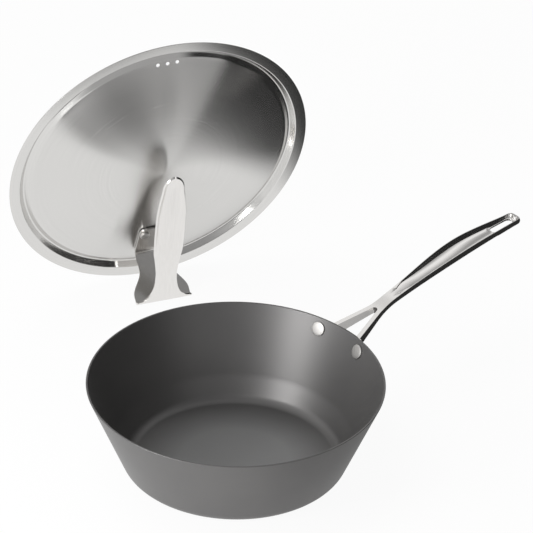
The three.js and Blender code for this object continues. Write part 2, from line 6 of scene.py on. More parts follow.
import logging
import math
from collections.abc import Callable, Sequence
from dataclasses import dataclass, field
from enum import Enum

import bmesh
import bpy
from mathutils import Matrix, Quaternion, Vector
from mathutils.kdtree import KDTree


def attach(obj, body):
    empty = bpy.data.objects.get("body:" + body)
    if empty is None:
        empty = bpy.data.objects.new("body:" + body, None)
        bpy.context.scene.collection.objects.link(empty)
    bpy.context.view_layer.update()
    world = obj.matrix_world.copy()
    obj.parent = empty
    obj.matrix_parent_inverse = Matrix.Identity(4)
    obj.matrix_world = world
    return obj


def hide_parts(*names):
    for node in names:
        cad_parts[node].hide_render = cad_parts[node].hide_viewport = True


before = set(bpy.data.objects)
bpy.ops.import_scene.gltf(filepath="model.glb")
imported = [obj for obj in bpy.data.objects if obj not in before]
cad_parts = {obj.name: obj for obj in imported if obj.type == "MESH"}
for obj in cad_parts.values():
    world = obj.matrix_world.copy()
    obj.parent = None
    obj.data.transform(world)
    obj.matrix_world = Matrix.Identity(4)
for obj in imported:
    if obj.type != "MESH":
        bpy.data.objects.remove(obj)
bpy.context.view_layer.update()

LOG = logging.getLogger("stir_fry_pan")
MM = 0.001
SAME_PLACE = 0.004 * MM
SAME_TURN = 1e-4
SMOOTH_ANGLE = 40.0

# The Mix node's sockets go by number, because its levels and its colours share their names
LEVEL_A, LEVEL_B, LEVEL_OUT = 2, 3, 0
COLOUR_A, COLOUR_B, COLOUR_OUT = 6, 7, 2

Outline = list[Vector]
Socket = bpy.types.NodeSocket


class Body(Enum):
    """The bodies of the frame that pieces ride on."""

    PAN = "pan"
    LID = "lid"


class Slot(Enum):
    """The record's material slots."""

    DARK_PAN = "dark_pan"
    CAST_STEEL = "cast_steel"
    RIVET_STEEL = "rivet_steel"
    LID_STEEL = "lid_steel"
    STRIP_STEEL = "strip_steel"


class Side(Enum):
    """Which of two mirrored places a piece takes, as the sign of its Y in its own frame."""

    LEFT = 1
    RIGHT = -1


# Lines and curves


def bent_line(corners: Sequence[tuple[float, ...]], steps: int) -> Outline:
    """Rounds the corners of a line.

    Args:
        corners: Two ends, each (x, z), and the corners between them, each (x, z, bend radius).
        steps: How many stretches a bend is drawn with.

    Returns:
        The points along the line, in the line's own plane.
    """
    points = [Vector(corners[0][:2])]
    for before, corner, after in zip(corners, corners[1:], corners[2:]):
        here = Vector(corner[:2])
        back = (Vector(before[:2]) - here).normalized()
        ahead = (Vector(after[:2]) - here).normalized()
        half = back.angle(ahead) / 2
        radius = corner[2]
        centre = here + (back + ahead).normalized() * (radius / math.sin(half))
        first = here + back * (radius / math.tan(half)) - centre
        last = here + ahead * (radius / math.tan(half)) - centre
        turn = math.atan2(first.cross(last), first.dot(last))
        points += [centre + Matrix.Rotation(turn * i / steps, 2) @ first for i in range(steps + 1)]
    points.append(Vector(corners[-1][:2]))
    return points


def eased(knots: Sequence[tuple[float, float]], x: float) -> float:
    """Reads a smooth curve through knots.

    Args:
        knots: (x, value) pairs with rising x.
        x: Where to read it. Beyond the ends the end values hold.

    Returns:
        The value there.
    """
    if x <= knots[0][0]:
        return knots[0][1]
    if x >= knots[-1][0]:
        return knots[-1][1]
    i = next(n for n in range(len(knots) - 1) if x <= knots[n + 1][0])

    def slope(n: int) -> float:
        """The curve's slope at a knot, level with its neighbours' chord."""
        low, high = max(n - 1, 0), min(n + 1, len(knots) - 1)
        return (knots[high][1] - knots[low][1]) / (knots[high][0] - knots[low][0])

    (x0, v0), (x1, v1) = knots[i], knots[i + 1]
    run = x1 - x0
    t = (x - x0) / run
    rise = v1 - v0
    start, end = slope(i) * run, slope(i + 1) * run
    return v0 + t * start + t * t * (3 * rise - 2 * start - end) + t**3 * (start + end - 2 * rise)


def spread(low: float, high: float, count: int) -> list[float]:
    """Even steps from low up to, and not with, high."""
    return [low + (high - low) * i / count for i in range(count)]


# Modelling by operators


def rest_tools() -> None:
    """Leaves edit mode and deselects everything, CAD nodes too."""
    if bpy.context.mode != "OBJECT":
        bpy.ops.object.mode_set(mode="OBJECT")
    bpy.ops.object.select_all(action="DESELECT")


def start_piece(name: str) -> bpy.types.Object:
    """Starts an empty piece at the origin and leaves it in edit mode.

    Args:
        name: The piece's name.

    Returns:
        The new object.
    """
    rest_tools()
    bpy.ops.mesh.primitive_plane_add(size=MM, location=(0, 0, 0))
    piece = bpy.context.active_object
    piece.name = piece.data.name = name
    bpy.ops.object.mode_set(mode="EDIT")
    bpy.ops.mesh.select_mode(type="VERT")
    bpy.ops.mesh.select_all(action="SELECT")
    bpy.ops.mesh.delete(type="VERT")
    return piece


def draw_rail(points: Sequence[Vector]) -> None:
    """Draws a line in the piece being edited, by extruding one vertex from point to point.

    Args:
        points: The line's points in order.
    """
    bpy.ops.mesh.select_all(action="DESELECT")
    bpy.ops.mesh.primitive_plane_add(size=MM, location=points[0])
    bpy.ops.mesh.merge(type="CENTER")
    for here, there in zip(points, points[1:]):
        bpy.ops.mesh.extrude_vertices_move(TRANSFORM_OT_translate={"value": there - here})


def select_points(piece: bpy.types.Object, points: Sequence[Vector]) -> None:
    """Selects the vertices that lie at the given places, and the edges between them.

    Args:
        piece: The piece being edited.
        points: The places.
    """
    tree = KDTree(len(points))
    for i, point in enumerate(points):
        tree.insert(point, i)
    tree.balance()
    bpy.ops.mesh.select_mode(type="VERT")
    bpy.ops.mesh.select_all(action="DESELECT")
    mesh = bmesh.from_edit_mesh(piece.data)
    for vertex in mesh.verts:
        vertex.select_set(tree.find(vertex.co)[2] < SAME_PLACE)
    mesh.select_flush(True)
    bmesh.update_edit_mesh(piece.data)


def select_faces(piece: bpy.types.Object, wanted: Callable[[bmesh.types.BMFace], bool]) -> None:
    """Selects the faces that pass a test, and nothing else.

    Args:
        piece: The piece being edited.
        wanted: The test.
    """
    bpy.ops.mesh.select_mode(type="FACE")
    bpy.ops.mesh.select_all(action="DESELECT")
    mesh = bmesh.from_edit_mesh(piece.data)
    for face in mesh.faces:
        face.select_set(wanted(face))
    bmesh.update_edit_mesh(piece.data)


def close_up(piece: bpy.types.Object, smooth_angle: float = SMOOTH_ANGLE) -> None:
    """Merges doubles, turns the faces outwards, leaves edit mode and smooths the shading.

    Args:
        piece: The piece to close.
        smooth_angle: Edges sharper than this stay crisp, in degrees.
    """
    if bpy.context.mode == "OBJECT":
        rest_tools()
        piece.select_set(True)
        bpy.context.view_layer.objects.active = piece
        bpy.ops.object.mode_set(mode="EDIT")
    bpy.ops.mesh.select_mode(type="VERT")
    bpy.ops.mesh.select_all(action="SELECT")
    bpy.ops.mesh.remove_doubles(threshold=SAME_PLACE)
    bpy.ops.mesh.normals_make_consistent(inside=False)
    bpy.ops.object.mode_set(mode="OBJECT")
    bpy.ops.object.shade_smooth_by_angle(angle=math.radians(smooth_angle))


def turn_profile(name: str, profile: Outline, steps: int) -> bpy.types.Object:
    """Draws a profile and spins it about Z, as on a lathe.

    Args:
        name: The piece's name.
        profile: (radius, height) points from one end on the axis to the other.
        steps: How many steps a full turn has.

    Returns:
        The closed piece.
    """
    piece = start_piece(name)
    draw_rail([Vector((point.x, 0, point.y)) for point in profile])
    bpy.ops.mesh.select_all(action="SELECT")
    bpy.ops.mesh.spin(steps=steps, angle=2 * math.pi, center=(0, 0, 0), axis=(0, 0, 1))
    close_up(piece)
    return piece


def loft(name: str, rails: Sequence[Sequence[Vector]], closed: bool) -> bpy.types.Object:
    """Draws rails with equal numbers of points and bridges each to the next.

    Args:
        name: The piece's name.
        rails: The lines that the skin runs over.
        closed: Whether the last rail is bridged to the first.

    Returns:
        The piece, still in edit mode.
    """
    piece = start_piece(name)
    for rail in rails:
        draw_rail(rail)
    pairs = list(zip(rails, rails[1:]))
    if closed:
        pairs.append((rails[-1], rails[0]))
    for one, other in pairs:
        select_points(piece, [*one, *other])
        bpy.ops.mesh.bridge_edge_loops()
    return piece


def finish_with(piece: bpy.types.Object, kind: str, **settings: object) -> None:
    """Adds a modifier to a piece and applies it.

    Args:
        piece: The piece to change.
        kind: The modifier's type.
        **settings: The modifier's settings.
    """
    rest_tools()
    piece.select_set(True)
    bpy.context.view_layer.objects.active = piece
    bpy.ops.object.modifier_add(type=kind)
    modifier = piece.modifiers[-1]
    for name, value in settings.items():
        setattr(modifier, name, value)
    bpy.ops.object.modifier_apply(modifier=modifier.name)


def mirror_half(piece: bpy.types.Object) -> None:
    """Mirrors the left half of a piece and welds the seam."""
    across = (False, True, False)
    finish_with(piece, "MIRROR", use_axis=across, use_mirror_merge=True, merge_threshold=SAME_PLACE)


def round_edges(piece: bpy.types.Object, width: float, segments: int, sharper_than: float) -> None:
    """Rounds the sharp edges of a piece.

    Args:
        piece: The piece to change.
        width: How wide the rounding is.
        segments: How many stretches it is drawn with.
        sharper_than: The angle past which an edge counts as sharp, in degrees.
    """
    angle = math.radians(sharper_than)
    finish_with(piece, "BEVEL", width=width, segments=segments, limit_method="ANGLE", angle_limit=angle)


def cut_or_join(piece: bpy.types.Object, tool: bpy.types.Object, operation: str) -> None:
    """Cuts a piece by a tool, or joins the tool to it, and removes the tool."""
    finish_with(piece, "BOOLEAN", operation=operation, object=tool, solver="EXACT")
    bpy.data.objects.remove(tool)


def copy_of(piece: bpy.types.Object, name: str) -> bpy.types.Object:
    """Copies a piece with a mesh of its own.

    Args:
        piece: The piece to copy.
        name: The copy's name.

    Returns:
        The copy.
    """
    rest_tools()
    piece.select_set(True)
    bpy.context.view_layer.objects.active = piece
    bpy.ops.object.duplicate(linked=False)
    copy = bpy.context.active_object
    copy.name = copy.data.name = name
    return copy


def place(piece: bpy.types.Object, matrix: Matrix) -> None:
    """Moves a piece and puts its place into its mesh.

    Args:
        piece: The piece to move.
        matrix: Its place and turn.
    """
    rest_tools()
    piece.select_set(True)
    bpy.context.view_layer.objects.active = piece
    piece.matrix_world = matrix
    bpy.ops.object.transform_apply(location=True, rotation=True, scale=True)


def hand_over(
    piece: bpy.types.Object, material: bpy.types.Material, body: Body, node: str
) -> None:
    """Dresses a finished piece and lets it stand for its CAD node.

    Args:
        piece: The finished piece.
        material: Its material.
        body: The body that it rides on.
        node: The CAD node that it stands for.
    """
    piece.data.materials.clear()
    piece.data.materials.append(material)
    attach(piece, body.value)
    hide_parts(node)
    LOG.info("%s: %d faces, stands for %s on %s", piece.name, len(piece.data.polygons), node, body.value)


# Materials


def linear(colour: str) -> tuple[float, float, float, float]:
    """Turns an sRGB hex colour to linear light.

    Args:
        colour: Such as "#6b6a68".

    Returns:
        Red, green, blue and a full alpha.
    """
    channels = [int(colour[i : i + 2], 16) / 255 for i in (1, 3, 5)]
    red, green, blue = (c / 12.92 if c <= 0.04045 else ((c + 0.055) / 1.055) ** 2.4 for c in channels)
    return red, green, blue, 1.0


def add_node(
    tree: bpy.types.NodeTree, kind: str, inputs: dict[str | int, object] | None = None, **settings: object
) -> bpy.types.Node:
    """Adds a node.

    Args:
        tree: The tree that it goes into.
        kind: The node's type.
        inputs: Sockets by name or number, each with a value or with the socket that it is linked from.
        **settings: The node's own settings.

    Returns:
        The node.
    """
    node = tree.nodes.new(kind)
    for name, value in settings.items():
        setattr(node, name, value)
    for name, value in (inputs or {}).items():
        if isinstance(value, Socket):
            tree.links.new(value, node.inputs[name])
        else:
            node.inputs[name].default_value = value
    return node


def new_material(name: str) -> tuple[bpy.types.Material, bpy.types.NodeTree, bpy.types.Node]:
    """Starts a material.

    Args:
        name: The material's name.

    Returns:
        The material, its tree and its principled shader.
    """
    material = bpy.data.materials.new(name)
    material.use_nodes = True
    tree = material.node_tree
    return material, tree, tree.nodes["Principled BSDF"]


@dataclass(frozen=True)
class HardAnodisedAluminium:
    """Pressed aluminium, hard anodised: matt dark grey with a soft metal sheen and a fine even grain."""

    light: str = "#7c7b7a"
    dark: str = "#727171"
    metallic: float = 0.8
    # Painted light: the paler tones that the pan's floor is painted with, where it catches more light
    painted_lit_floor_light: str = "#a1a1a1"
    painted_lit_floor_dark: str = "#979797"
    painted_light_reach: tuple[float, float] = (55 * MM, 98 * MM)
    painted_light_height: tuple[float, float] = (3 * MM, 7 * MM)
    roughness: tuple[float, float] = (0.40, 0.46)
    cloud_size: float = 70 * MM
    grain_size: float = 1.1 * MM
    grain_depth: float = 0.01 * MM
    grain_strength: float = 0.3

    def material(self) -> bpy.types.Material:
        """Builds the material.

        Returns:
            The material, with a slow change of tone, a fine grain, and painted light: a floor painted paler
            than the wall, fading out towards its edge.
        """
        material, tree, shader = new_material("hard_anodised_aluminium")
        place_on = add_node(tree, "ShaderNodeTexCoord").outputs["Object"]
        # The bath colours the metal a little unevenly, so the grey drifts slowly over the wall
        cloud = add_node(tree, "ShaderNodeTexNoise", {"Vector": place_on, "Scale": 1 / self.cloud_size})
        wall, floor = (
            add_node(
                tree, "ShaderNodeMix",
                {"Factor": cloud.outputs["Fac"], COLOUR_A: linear(dark), COLOUR_B: linear(light)},
                data_type="RGBA",
            ).outputs[COLOUR_OUT]
            for dark, light in ((self.dark, self.light), (self.painted_lit_floor_dark, self.painted_lit_floor_light))
        )
        # Painted light: the floor is painted paler than the wall, as if it caught more light, and the
        # paleness fades out towards the floor's edge
        height = add_node(tree, "ShaderNodeSeparateXYZ", {"Vector": place_on}).outputs["Z"]
        low, high = self.painted_light_height
        inner, outer = self.painted_light_reach
        above = add_node(tree, "ShaderNodeMath", {0: height, 1: low}, operation="GREATER_THAN")
        below = add_node(tree, "ShaderNodeMath", {0: height, 1: high}, operation="LESS_THAN")
        reach = add_node(tree, "ShaderNodeVectorMath", {0: place_on}, operation="LENGTH")
        within = add_node(
            tree, "ShaderNodeMapRange",
            {
                "Value": reach.outputs["Value"],
                "From Min": inner,
                "From Max": outer,
                "To Min": above.outputs["Value"],
                "To Max": 0.0,
            },
        )
        painted_light_share = add_node(
            tree, "ShaderNodeMath",
            {0: within.outputs["Result"], 1: below.outputs["Value"]},
            operation="MULTIPLY",
        )
        tone = add_node(
            tree, "ShaderNodeMix",
            {"Factor": painted_light_share.outputs["Value"], COLOUR_A: wall, COLOUR_B: floor},
            data_type="RGBA",
        )
        # The etched grain is about 0.1 mm across and is drawn coarser here so that it shows
        grain = add_node(
            tree, "ShaderNodeTexNoise", {"Vector": place_on, "Scale": 1 / self.grain_size, "Detail": 3}
        )
        rough = add_node(
            tree, "ShaderNodeMapRange",
            {"Value": grain.outputs["Fac"], "To Min": self.roughness[0], "To Max": self.roughness[1]},
        )
        bump = add_node(
            tree, "ShaderNodeBump",
            {"Height": grain.outputs["Fac"], "Strength": self.grain_strength, "Distance": self.grain_depth},
        )
        shader.inputs["Metallic"].default_value = self.metallic
        tree.links.new(tone.outputs[COLOUR_OUT], shader.inputs["Base Color"])
        tree.links.new(rough.outputs["Result"], shader.inputs["Roughness"])
        tree.links.new(bump.outputs["Normal"], shader.inputs["Normal"])
        return material


@dataclass(frozen=True)
class PolishedSteel:
    """Stainless steel finished on a belt and a polishing wheel: bright, with faint lines along the work."""

    name: str
    light: str = "#eceae8"
    dark: str = "#dddbd8"
    roughness: tuple[float, float] = (0.09, 0.17)
    line_width: float = 0.8 * MM
    line_length: float = 60 * MM
    along: Vector = field(default_factory=lambda: Vector((1, 0, 0)))

    def material(self) -> bpy.types.Material:
        """Builds the material.

        Returns:
            The material, with lines along the work in its tone and its gloss.
        """
        material, tree, shader = new_material(self.name)
        place_on = add_node(tree, "ShaderNodeTexCoord").outputs["Object"]
        turn = self.along.to_track_quat("X", "Z").to_euler()
        fine, long = self.line_width, self.line_length
        # Polishing lines are far finer than this and are drawn coarser here so that they show
        laid = add_node(
            tree, "ShaderNodeMapping",
            {"Vector": place_on, "Rotation": turn, "Scale": (long, fine, fine)}, vector_type="TEXTURE",
        )
        lines = add_node(
            tree, "ShaderNodeTexNoise", {"Vector": laid.outputs["Vector"], "Scale": 1.0, "Detail": 4}
        )
        tone = add_node(
            tree, "ShaderNodeMix",
            {"Factor": lines.outputs["Fac"], COLOUR_A: linear(self.dark), COLOUR_B: linear(self.light)},
            data_type="RGBA",
        )
        rough = add_node(
            tree, "ShaderNodeMapRange",
            {"Value": lines.outputs["Fac"], "To Min": self.roughness[0], "To Max": self.roughness[1]},
        )
        shader.inputs["Metallic"].default_value = 1.0
        tree.links.new(tone.outputs[COLOUR_OUT], shader.inputs["Base Color"])
        tree.links.new(rough.outputs["Result"], shader.inputs["Roughness"])
        return material


@dataclass(frozen=True)
class TurnedSteel:
    """Stainless sheet brushed while it turned: rings finer than the eye, so light spreads in fans."""

    lid_frame: Matrix
    light: str = "#dddcda"
    dark: str = "#d2d1cf"
    roughness: tuple[float, float] = (0.24, 0.285)
    brushed_reach: float = 132 * MM
    pressed_reach: float = 138 * MM
    pressed_roughness: float = 0.16
    anisotropy: float = 0.93
    ring_width: float = 0.7 * MM
    ring_reach: float = 120 * MM

    def material(self) -> bpy.types.Material:
        """Builds the material.

        Returns:
            The material, with fine broken rings about the lid's axis and its gloss spread across them.
        """
        material, tree, shader = new_material("turned_stainless_steel")
        place_on = add_node(tree, "ShaderNodeTexCoord").outputs["Object"]
        own = add_node(
            tree, "ShaderNodeMapping",
            {
                "Vector": place_on,
                "Location": self.lid_frame.to_translation(),
                "Rotation": self.lid_frame.to_euler(),
            },
            vector_type="TEXTURE",
        )
        flat = add_node(
            tree, "ShaderNodeVectorMath", {0: own.outputs["Vector"], 1: (1, 1, 0)}, operation="MULTIPLY"
        )
        reach = add_node(tree, "ShaderNodeVectorMath", {0: flat.outputs["Vector"]}, operation="LENGTH")
        # Rings of about 0.1 mm are drawn coarser here so that they show, and break off part way round
        ring = add_node(
            tree, "ShaderNodeMath", {0: reach.outputs["Value"], 1: 1 / self.ring_width}, operation="MULTIPLY"
        )
        around = add_node(
            tree, "ShaderNodeVectorMath", {0: flat.outputs["Vector"], 1: (1 / self.ring_reach,) * 3},
            operation="MULTIPLY",
        )
        height = add_node(tree, "ShaderNodeCombineXYZ", {"Z": ring.outputs["Value"]})
        spot = add_node(
            tree, "ShaderNodeVectorMath",
            {0: around.outputs["Vector"], 1: height.outputs["Vector"]},
            operation="ADD",
        )
        lines = add_node(
            tree, "ShaderNodeTexNoise", {"Vector": spot.outputs["Vector"], "Scale": 1.0, "Detail": 3}
        )
        tone = add_node(
            tree, "ShaderNodeMix",
            {"Factor": lines.outputs["Fac"], COLOUR_A: linear(self.dark), COLOUR_B: linear(self.light)},
            data_type="RGBA",
        )
        rough = add_node(
            tree, "ShaderNodeMapRange",
            {"Value": lines.outputs["Fac"], "To Min": self.roughness[0], "To Max": self.roughness[1]},
        )
        # The groove and the flange keep the bright skin that the press leaves
        pressed = add_node(
            tree, "ShaderNodeMapRange",
            {"Value": reach.outputs["Value"], "From Min": self.brushed_reach, "From Max": self.pressed_reach},
        )
        gloss = add_node(
            tree, "ShaderNodeMix",
            {
                "Factor": pressed.outputs["Result"],
                LEVEL_A: rough.outputs["Result"],
                LEVEL_B: self.pressed_roughness,
            },
        )
        # Scratches run round the lid, so the gloss spreads along the radius
        radius = add_node(
            tree, "ShaderNodeVectorMath",
            {0: place_on, 1: self.lid_frame.to_translation()},
            operation="SUBTRACT",
        )
        spoke = add_node(tree, "ShaderNodeVectorMath", {0: radius.outputs["Vector"]}, operation="NORMALIZE")
        shader.inputs["Metallic"].default_value = 1.0
        shader.inputs["Anisotropic"].default_value = self.anisotropy
        tree.links.new(tone.outputs[COLOUR_OUT], shader.inputs["Base Color"])
        tree.links.new(gloss.outputs[LEVEL_OUT], shader.inputs["Roughness"])
        tree.links.new(spoke.outputs["Vector"], shader.inputs["Tangent"])
        return material


# The pan


@dataclass
class PressedPan:
    """The flared pan: a flat base, a rounded corner, a straight wall and a plain lip."""

    rim_radius: float = 150 * MM
    height: float = 94 * MM
    wall_lean: float = math.radians(23.5)
    wall: float = 2 * MM
    floor: float = 4 * MM
    base_corner: float = 18 * MM
    floor_corner: float = 13 * MM
    heel_height: float = 26 * MM
    heel_lean: float = math.radians(30)
    heel_bend: float = 60 * MM
    lip_round: float = 0.6 * MM
    turn_steps: int = 192
    bend_steps: int = 10

    def radius_at(self, height: float) -> float:
        """The wall's outside radius at a height."""
        return self.rim_radius - (self.height - height) * math.tan(self.wall_lean)

    def build(self) -> bpy.types.Object:
        """Turns the pan from one profile, up the outside and down the inside.

        Returns:
            The pan.
        """
        across = self.wall / math.cos(self.wall_lean)
        heel = self.radius_at(self.heel_height) - across
        floor_edge = heel - (self.heel_height - self.floor) * math.tan(self.heel_lean)
        profile = bent_line(
            [
                (0, 0),
                (self.radius_at(0), 0, self.base_corner),
                (self.rim_radius, self.height, self.lip_round),
                (self.rim_radius - across, self.height, self.lip_round),
                (heel, self.heel_height, self.heel_bend),
                (floor_edge, self.floor, self.floor_corner),
                (0, self.floor),
            ],
            self.bend_steps,
        )
        return turn_profile("pressed_pan", profile, self.turn_steps)

    def dress(self, piece: bpy.types.Object) -> None:
        """Gives the pan its finish and its place in the frame."""
        hand_over(piece, HardAnodisedAluminium().material(), Body.PAN, "pan_body")


@dataclass
class Rivet:
    """A rivet about Z: a low domed head with a rounded rim above zero, a shank, and a set tail below."""

    head_radius: float
    head_height: float
    shank_radius: float
    grip: float
    tail_radius: float
    tail_height: float
    rim_share: float = 0.75
    edge_round: float = 0.6 * MM
    dome_shares: tuple[float, ...] = (0.7, 0.55, 0.4, 0.25, 0.12, 0.0)
    turn_steps: int = 48
    bend_steps: int = 4

    def build(self, name: str) -> bpy.types.Object:
        """Turns the rivet.

        Args:
            name: The piece's name.

        Returns:
            The rivet, with its head's seat at zero.
        """
        rim = self.head_height * self.rim_share
        tail = -self.grip - self.tail_height
        dome = [
            Vector((self.head_radius * share, self.head_height - (self.head_height - rim) * share**2))
            for share in self.dome_shares
        ]
        body = bent_line(
            [
                (0, tail),
                (self.tail_radius, tail, self.edge_round),
                (self.tail_radius, -self.grip, self.edge_round / 2),
                (self.shank_radius, -self.grip, self.edge_round / 4),
                (self.shank_radius, 0, self.edge_round / 4),
                (self.head_radius, 0, self.edge_round / 4),
                (self.head_radius, rim, self.edge_round),
                (dome[0].x, dome[0].y),
            ],
            self.bend_steps,
        )
        return turn_profile(name, body + dome[1:], self.turn_steps)


@dataclass
class CastHandle:
    """The pan's handle: two feet on the wall, two arms that join, a neck and a channelled grip."""

    pan: PressedPan
    rivet_drop: float = 11 * MM
    rivet_spacing: float = 57 * MM
    foot_radius: float = 10.5 * MM
    foot_thickness: float = 4 * MM
    seat_gap: float = 0.3 * MM
    arm_width: float = 5.2 * MM
    arm_spacing: float = 35 * MM
    arm_drop: float = 7.5 * MM
    arm_depth: float = 12 * MM
    crotch_out: float = 43.5 * MM
    crotch_rise: float = 5.5 * MM
    crotch_depth: float = 7 * MM
    crotch_radius: float = 3.5 * MM
    neck_out: float = 64 * MM
    neck_rise: float = 11.5 * MM
    neck_width: float = 14.5 * MM
    neck_depth: float = 6.2 * MM
    grip_out: float = 154 * MM
    grip_rise: float = 30.3 * MM
    grip_width: float = 24.5 * MM
    grip_depth: float = 7.4 * MM
    tip_out: float = 238 * MM
    tip_rise: float = 32 * MM
    tip_width: float = 16 * MM
    tip_depth: float = 5 * MM
    tip_corner: float = 5 * MM
    channel_out: float = 70 * MM
    channel_depth: float = 5.6 * MM
    channel_lip: float = 1.3 * MM
    channel_wall_run: float = 0.5
    least_wall: float = 0.6 * MM
    tip_land: float = 4 * MM
    draft: float = 1.2 * MM
    slot_length: float = 28.5 * MM
    slot_width: float = 10 * MM
    slot_margin: float = 7 * MM
    edge_round: float = 0.3 * MM
    rivet_seat: float = 0.15 * MM
    foot_sink: float = 0.5
    foot_end_share: float = 0.97
    crotch_lead: float = 0.6
    crisp_angle: float = 50.0
    smooth_angle: float = 35.0
    edge_steps: int = 2
    foot_steps: int = 3
    foot_end_steps: int = 8
    arm_steps: int = 12
    crotch_steps: int = 7
    grip_steps: int = 46
    slot_bend_steps: int = 8
    slot_steps: int = 7
    tip_side_steps: int = 5
    tip_corner_steps: int = 7

    @property
    def rivet_height(self) -> float:
        """How high the rivets sit."""
        return self.pan.height - self.rivet_drop

    @property
    def rivet_turn(self) -> float:
        """The angle from the handle's line to each rivet."""
        return math.asin(self.rivet_spacing / 2 / self.pan.radius_at(self.rivet_height))

    @property
    def crotch_centre(self) -> float:
        """Where the round end of the fork's gap is centred."""
        return self.pan.rim_radius + self.crotch_out - self.crotch_radius

    @property
    def arm_lean(self) -> float:
        """How the arms spread.

        Returns:
            The angle between each arm and the handle's line.
        """
        run = self.crotch_out - self.crotch_radius
        offset = self.crotch_radius + self.arm_width / 2
        half = self.arm_spacing / 2
        return math.acos(offset / math.hypot(run, half)) - math.atan2(run, half)

    def arm_line(self, x: float, offset: float) -> float:
        """How far out an arm's line lies at x, when it passes the crotch's centre at an offset."""
        return offset / math.cos(self.arm_lean) + (self.crotch_centre - x) * math.tan(self.arm_lean)

    def top(self, x: float) -> float:
        """Reads the height of the top edge.

        Args:
            x: The place along the handle.

        Returns:
            The height.
        """
        rim, level = self.pan.rim_radius, self.pan.height
        arm_start = self.pan.radius_at(self.rivet_height) * math.cos(self.rivet_turn) - self.foot_thickness
        knots = [
            (arm_start, level - self.arm_drop),
            (rim + self.crotch_out, level + self.crotch_rise),
            (rim + self.neck_out, level + self.neck_rise),
            (rim + self.grip_out, level + self.grip_rise),
            (rim + self.tip_out, level + self.tip_rise),
        ]
        return eased(knots, x)

    def depth(self, x: float) -> float:
        """Reads the depth below the top edge.

        Args:
            x: The place along the handle.

        Returns:
            The depth.
        """
        rim = self.pan.rim_radius
        knots = [
            (rim - self.foot_thickness, self.arm_depth),
            (rim + self.crotch_out, self.crotch_depth),
            (rim + self.neck_out, self.neck_depth),
            (rim + self.grip_out, self.grip_depth),
            (rim + self.tip_out, self.tip_depth),
        ]
        return eased(knots, x)

    def half_width(self, x: float) -> float:
        """Reads half the width of the handle, from the arms' outer edges to the tip's shoulder.

        Args:
            x: The place along the handle.

        Returns:
            Half the width.
        """
        rim = self.pan.rim_radius
        outer = self.crotch_radius + self.arm_width
        if x < self.crotch_centre:
            return self.arm_line(x, outer)
        knots = [
            (rim, self.arm_line(rim, outer)),
            (self.crotch_centre, self.arm_line(self.crotch_centre, outer)),
            (rim + self.neck_out, self.neck_width / 2),
            (rim + self.grip_out, self.grip_width / 2),
            (rim + self.tip_out - self.tip_corner, self.tip_width / 2),
        ]
        return eased(knots, x)

    def stations(self) -> list[tuple[Vector, Vector]]:
        """Pairs places in plan, one on the inner line and one on the outer line of the left half.

        Returns:
            The pairs from feet to tip. The inner line follows the fork's gap, the middle and the slot.
        """
        rim, crotch, turn = self.pan.rim_radius, self.crotch_centre, self.arm_lean
        slot_end = rim + self.tip_out - self.slot_margin
        slot_start = slot_end - self.slot_length
        slot_half = self.slot_width / 2
        near, far = slot_start + slot_half, slot_end - slot_half
        inner: list[Vector] = []
        outer_x: list[float] = []
        for x in spread(self.pan.radius_at(self.rivet_height), crotch, self.arm_steps):
            inner.append(Vector((x, self.arm_line(x, self.crotch_radius))))
            outer_x.append(x)
        for angle in spread(math.pi / 2 - turn, 0, self.crotch_steps):
            point = Vector((math.cos(angle), math.sin(angle))) * self.crotch_radius
            inner.append(point + Vector((crotch, 0)))
            outer_x.append(crotch + (1 + self.crotch_lead) * point.x)
        crotch_end = crotch + self.crotch_radius
        for x in spread(crotch_end, slot_start, self.grip_steps):
            share = min((x - crotch_end) / self.neck_width, 1)
            inner.append(Vector((x, 0)))
            outer_x.append(x + self.crotch_lead * self.crotch_radius * (1 - share) ** 2)
        for angle in spread(0, math.pi / 2, self.slot_bend_steps):
            inner.append(Vector((near - slot_half * math.cos(angle), slot_half * math.sin(angle))))
            outer_x.append(inner[-1].x)
        for x in spread(near, far, self.slot_steps):
            inner.append(Vector((x, slot_half)))
            outer_x.append(x)
        outer = [Vector((x, self.half_width(x))) for x in outer_x]

        # Round the slot's far end the stations fan out, along the side, round the corner and across the tip
        end, corner = rim + self.tip_out, self.tip_corner
        shoulder = (end, self.half_width(end - corner), corner)
        line = bent_line([(far, self.half_width(far)), shoulder, (end, 0)], self.tip_corner_steps)
        side = [line[0].lerp(line[1], t) for t in spread(0, 1, self.tip_side_steps)]
        across = [line[-2].lerp(line[-1], t) for t in (0.33, 0.67, 1)]
        fan = [*side, *line[1:-1], *across]
        for i, point in enumerate(fan):
            angle = math.pi / 2 * i / (len(fan) - 1)
            inner.append(Vector((far + slot_half * math.sin(angle), slot_half * math.cos(angle))))
            outer.append(point)
        return list(zip(inner, outer))

    def lip_at(self, x: float, width: float) -> float:
        """Reads how far the channel's edge lies in from the outer edge.

        Args:
            x: The place along the handle.
            width: How wide the section is there.

        Returns:
            The distance from the outer edge.
        """
        start = self.pan.rim_radius + self.channel_out
        slot_end = self.pan.rim_radius + self.tip_out - self.slot_margin
        half = self.half_width(x)
        knots = [(0, 0.2 * half), (6 * MM, 0.55 * half), (16 * MM, half - self.channel_lip), (300 * MM, half)]
        lip = max(half - eased(knots, x - start), self.channel_lip)
        tip = max(1 - (slot_end - x) / (self.slot_width / 2), 0)
        return min(lip + (self.tip_land - lip) * tip**2, 0.6 * width)

    def channel_drop(self, x: float) -> float:
        """Reads how deep the channel's floor lies below the lips.

        Args:
            x: The place along the handle.

        Returns:
            The depth.
        """
        start = self.pan.rim_radius + self.channel_out
        slot_end = self.pan.rim_radius + self.tip_out - self.slot_margin
        knots = [
            (start - 3 * MM, 0),
            (start + 12 * MM, 0.26),
            (start + 30 * MM, 0.62),
            (start + 55 * MM, 0.93),
            (start + 84 * MM, 1),
            (slot_end - 30 * MM, 0.86),
            (slot_end, 0.6),
        ]
        return self.channel_depth * max(eased(knots, x), 0)

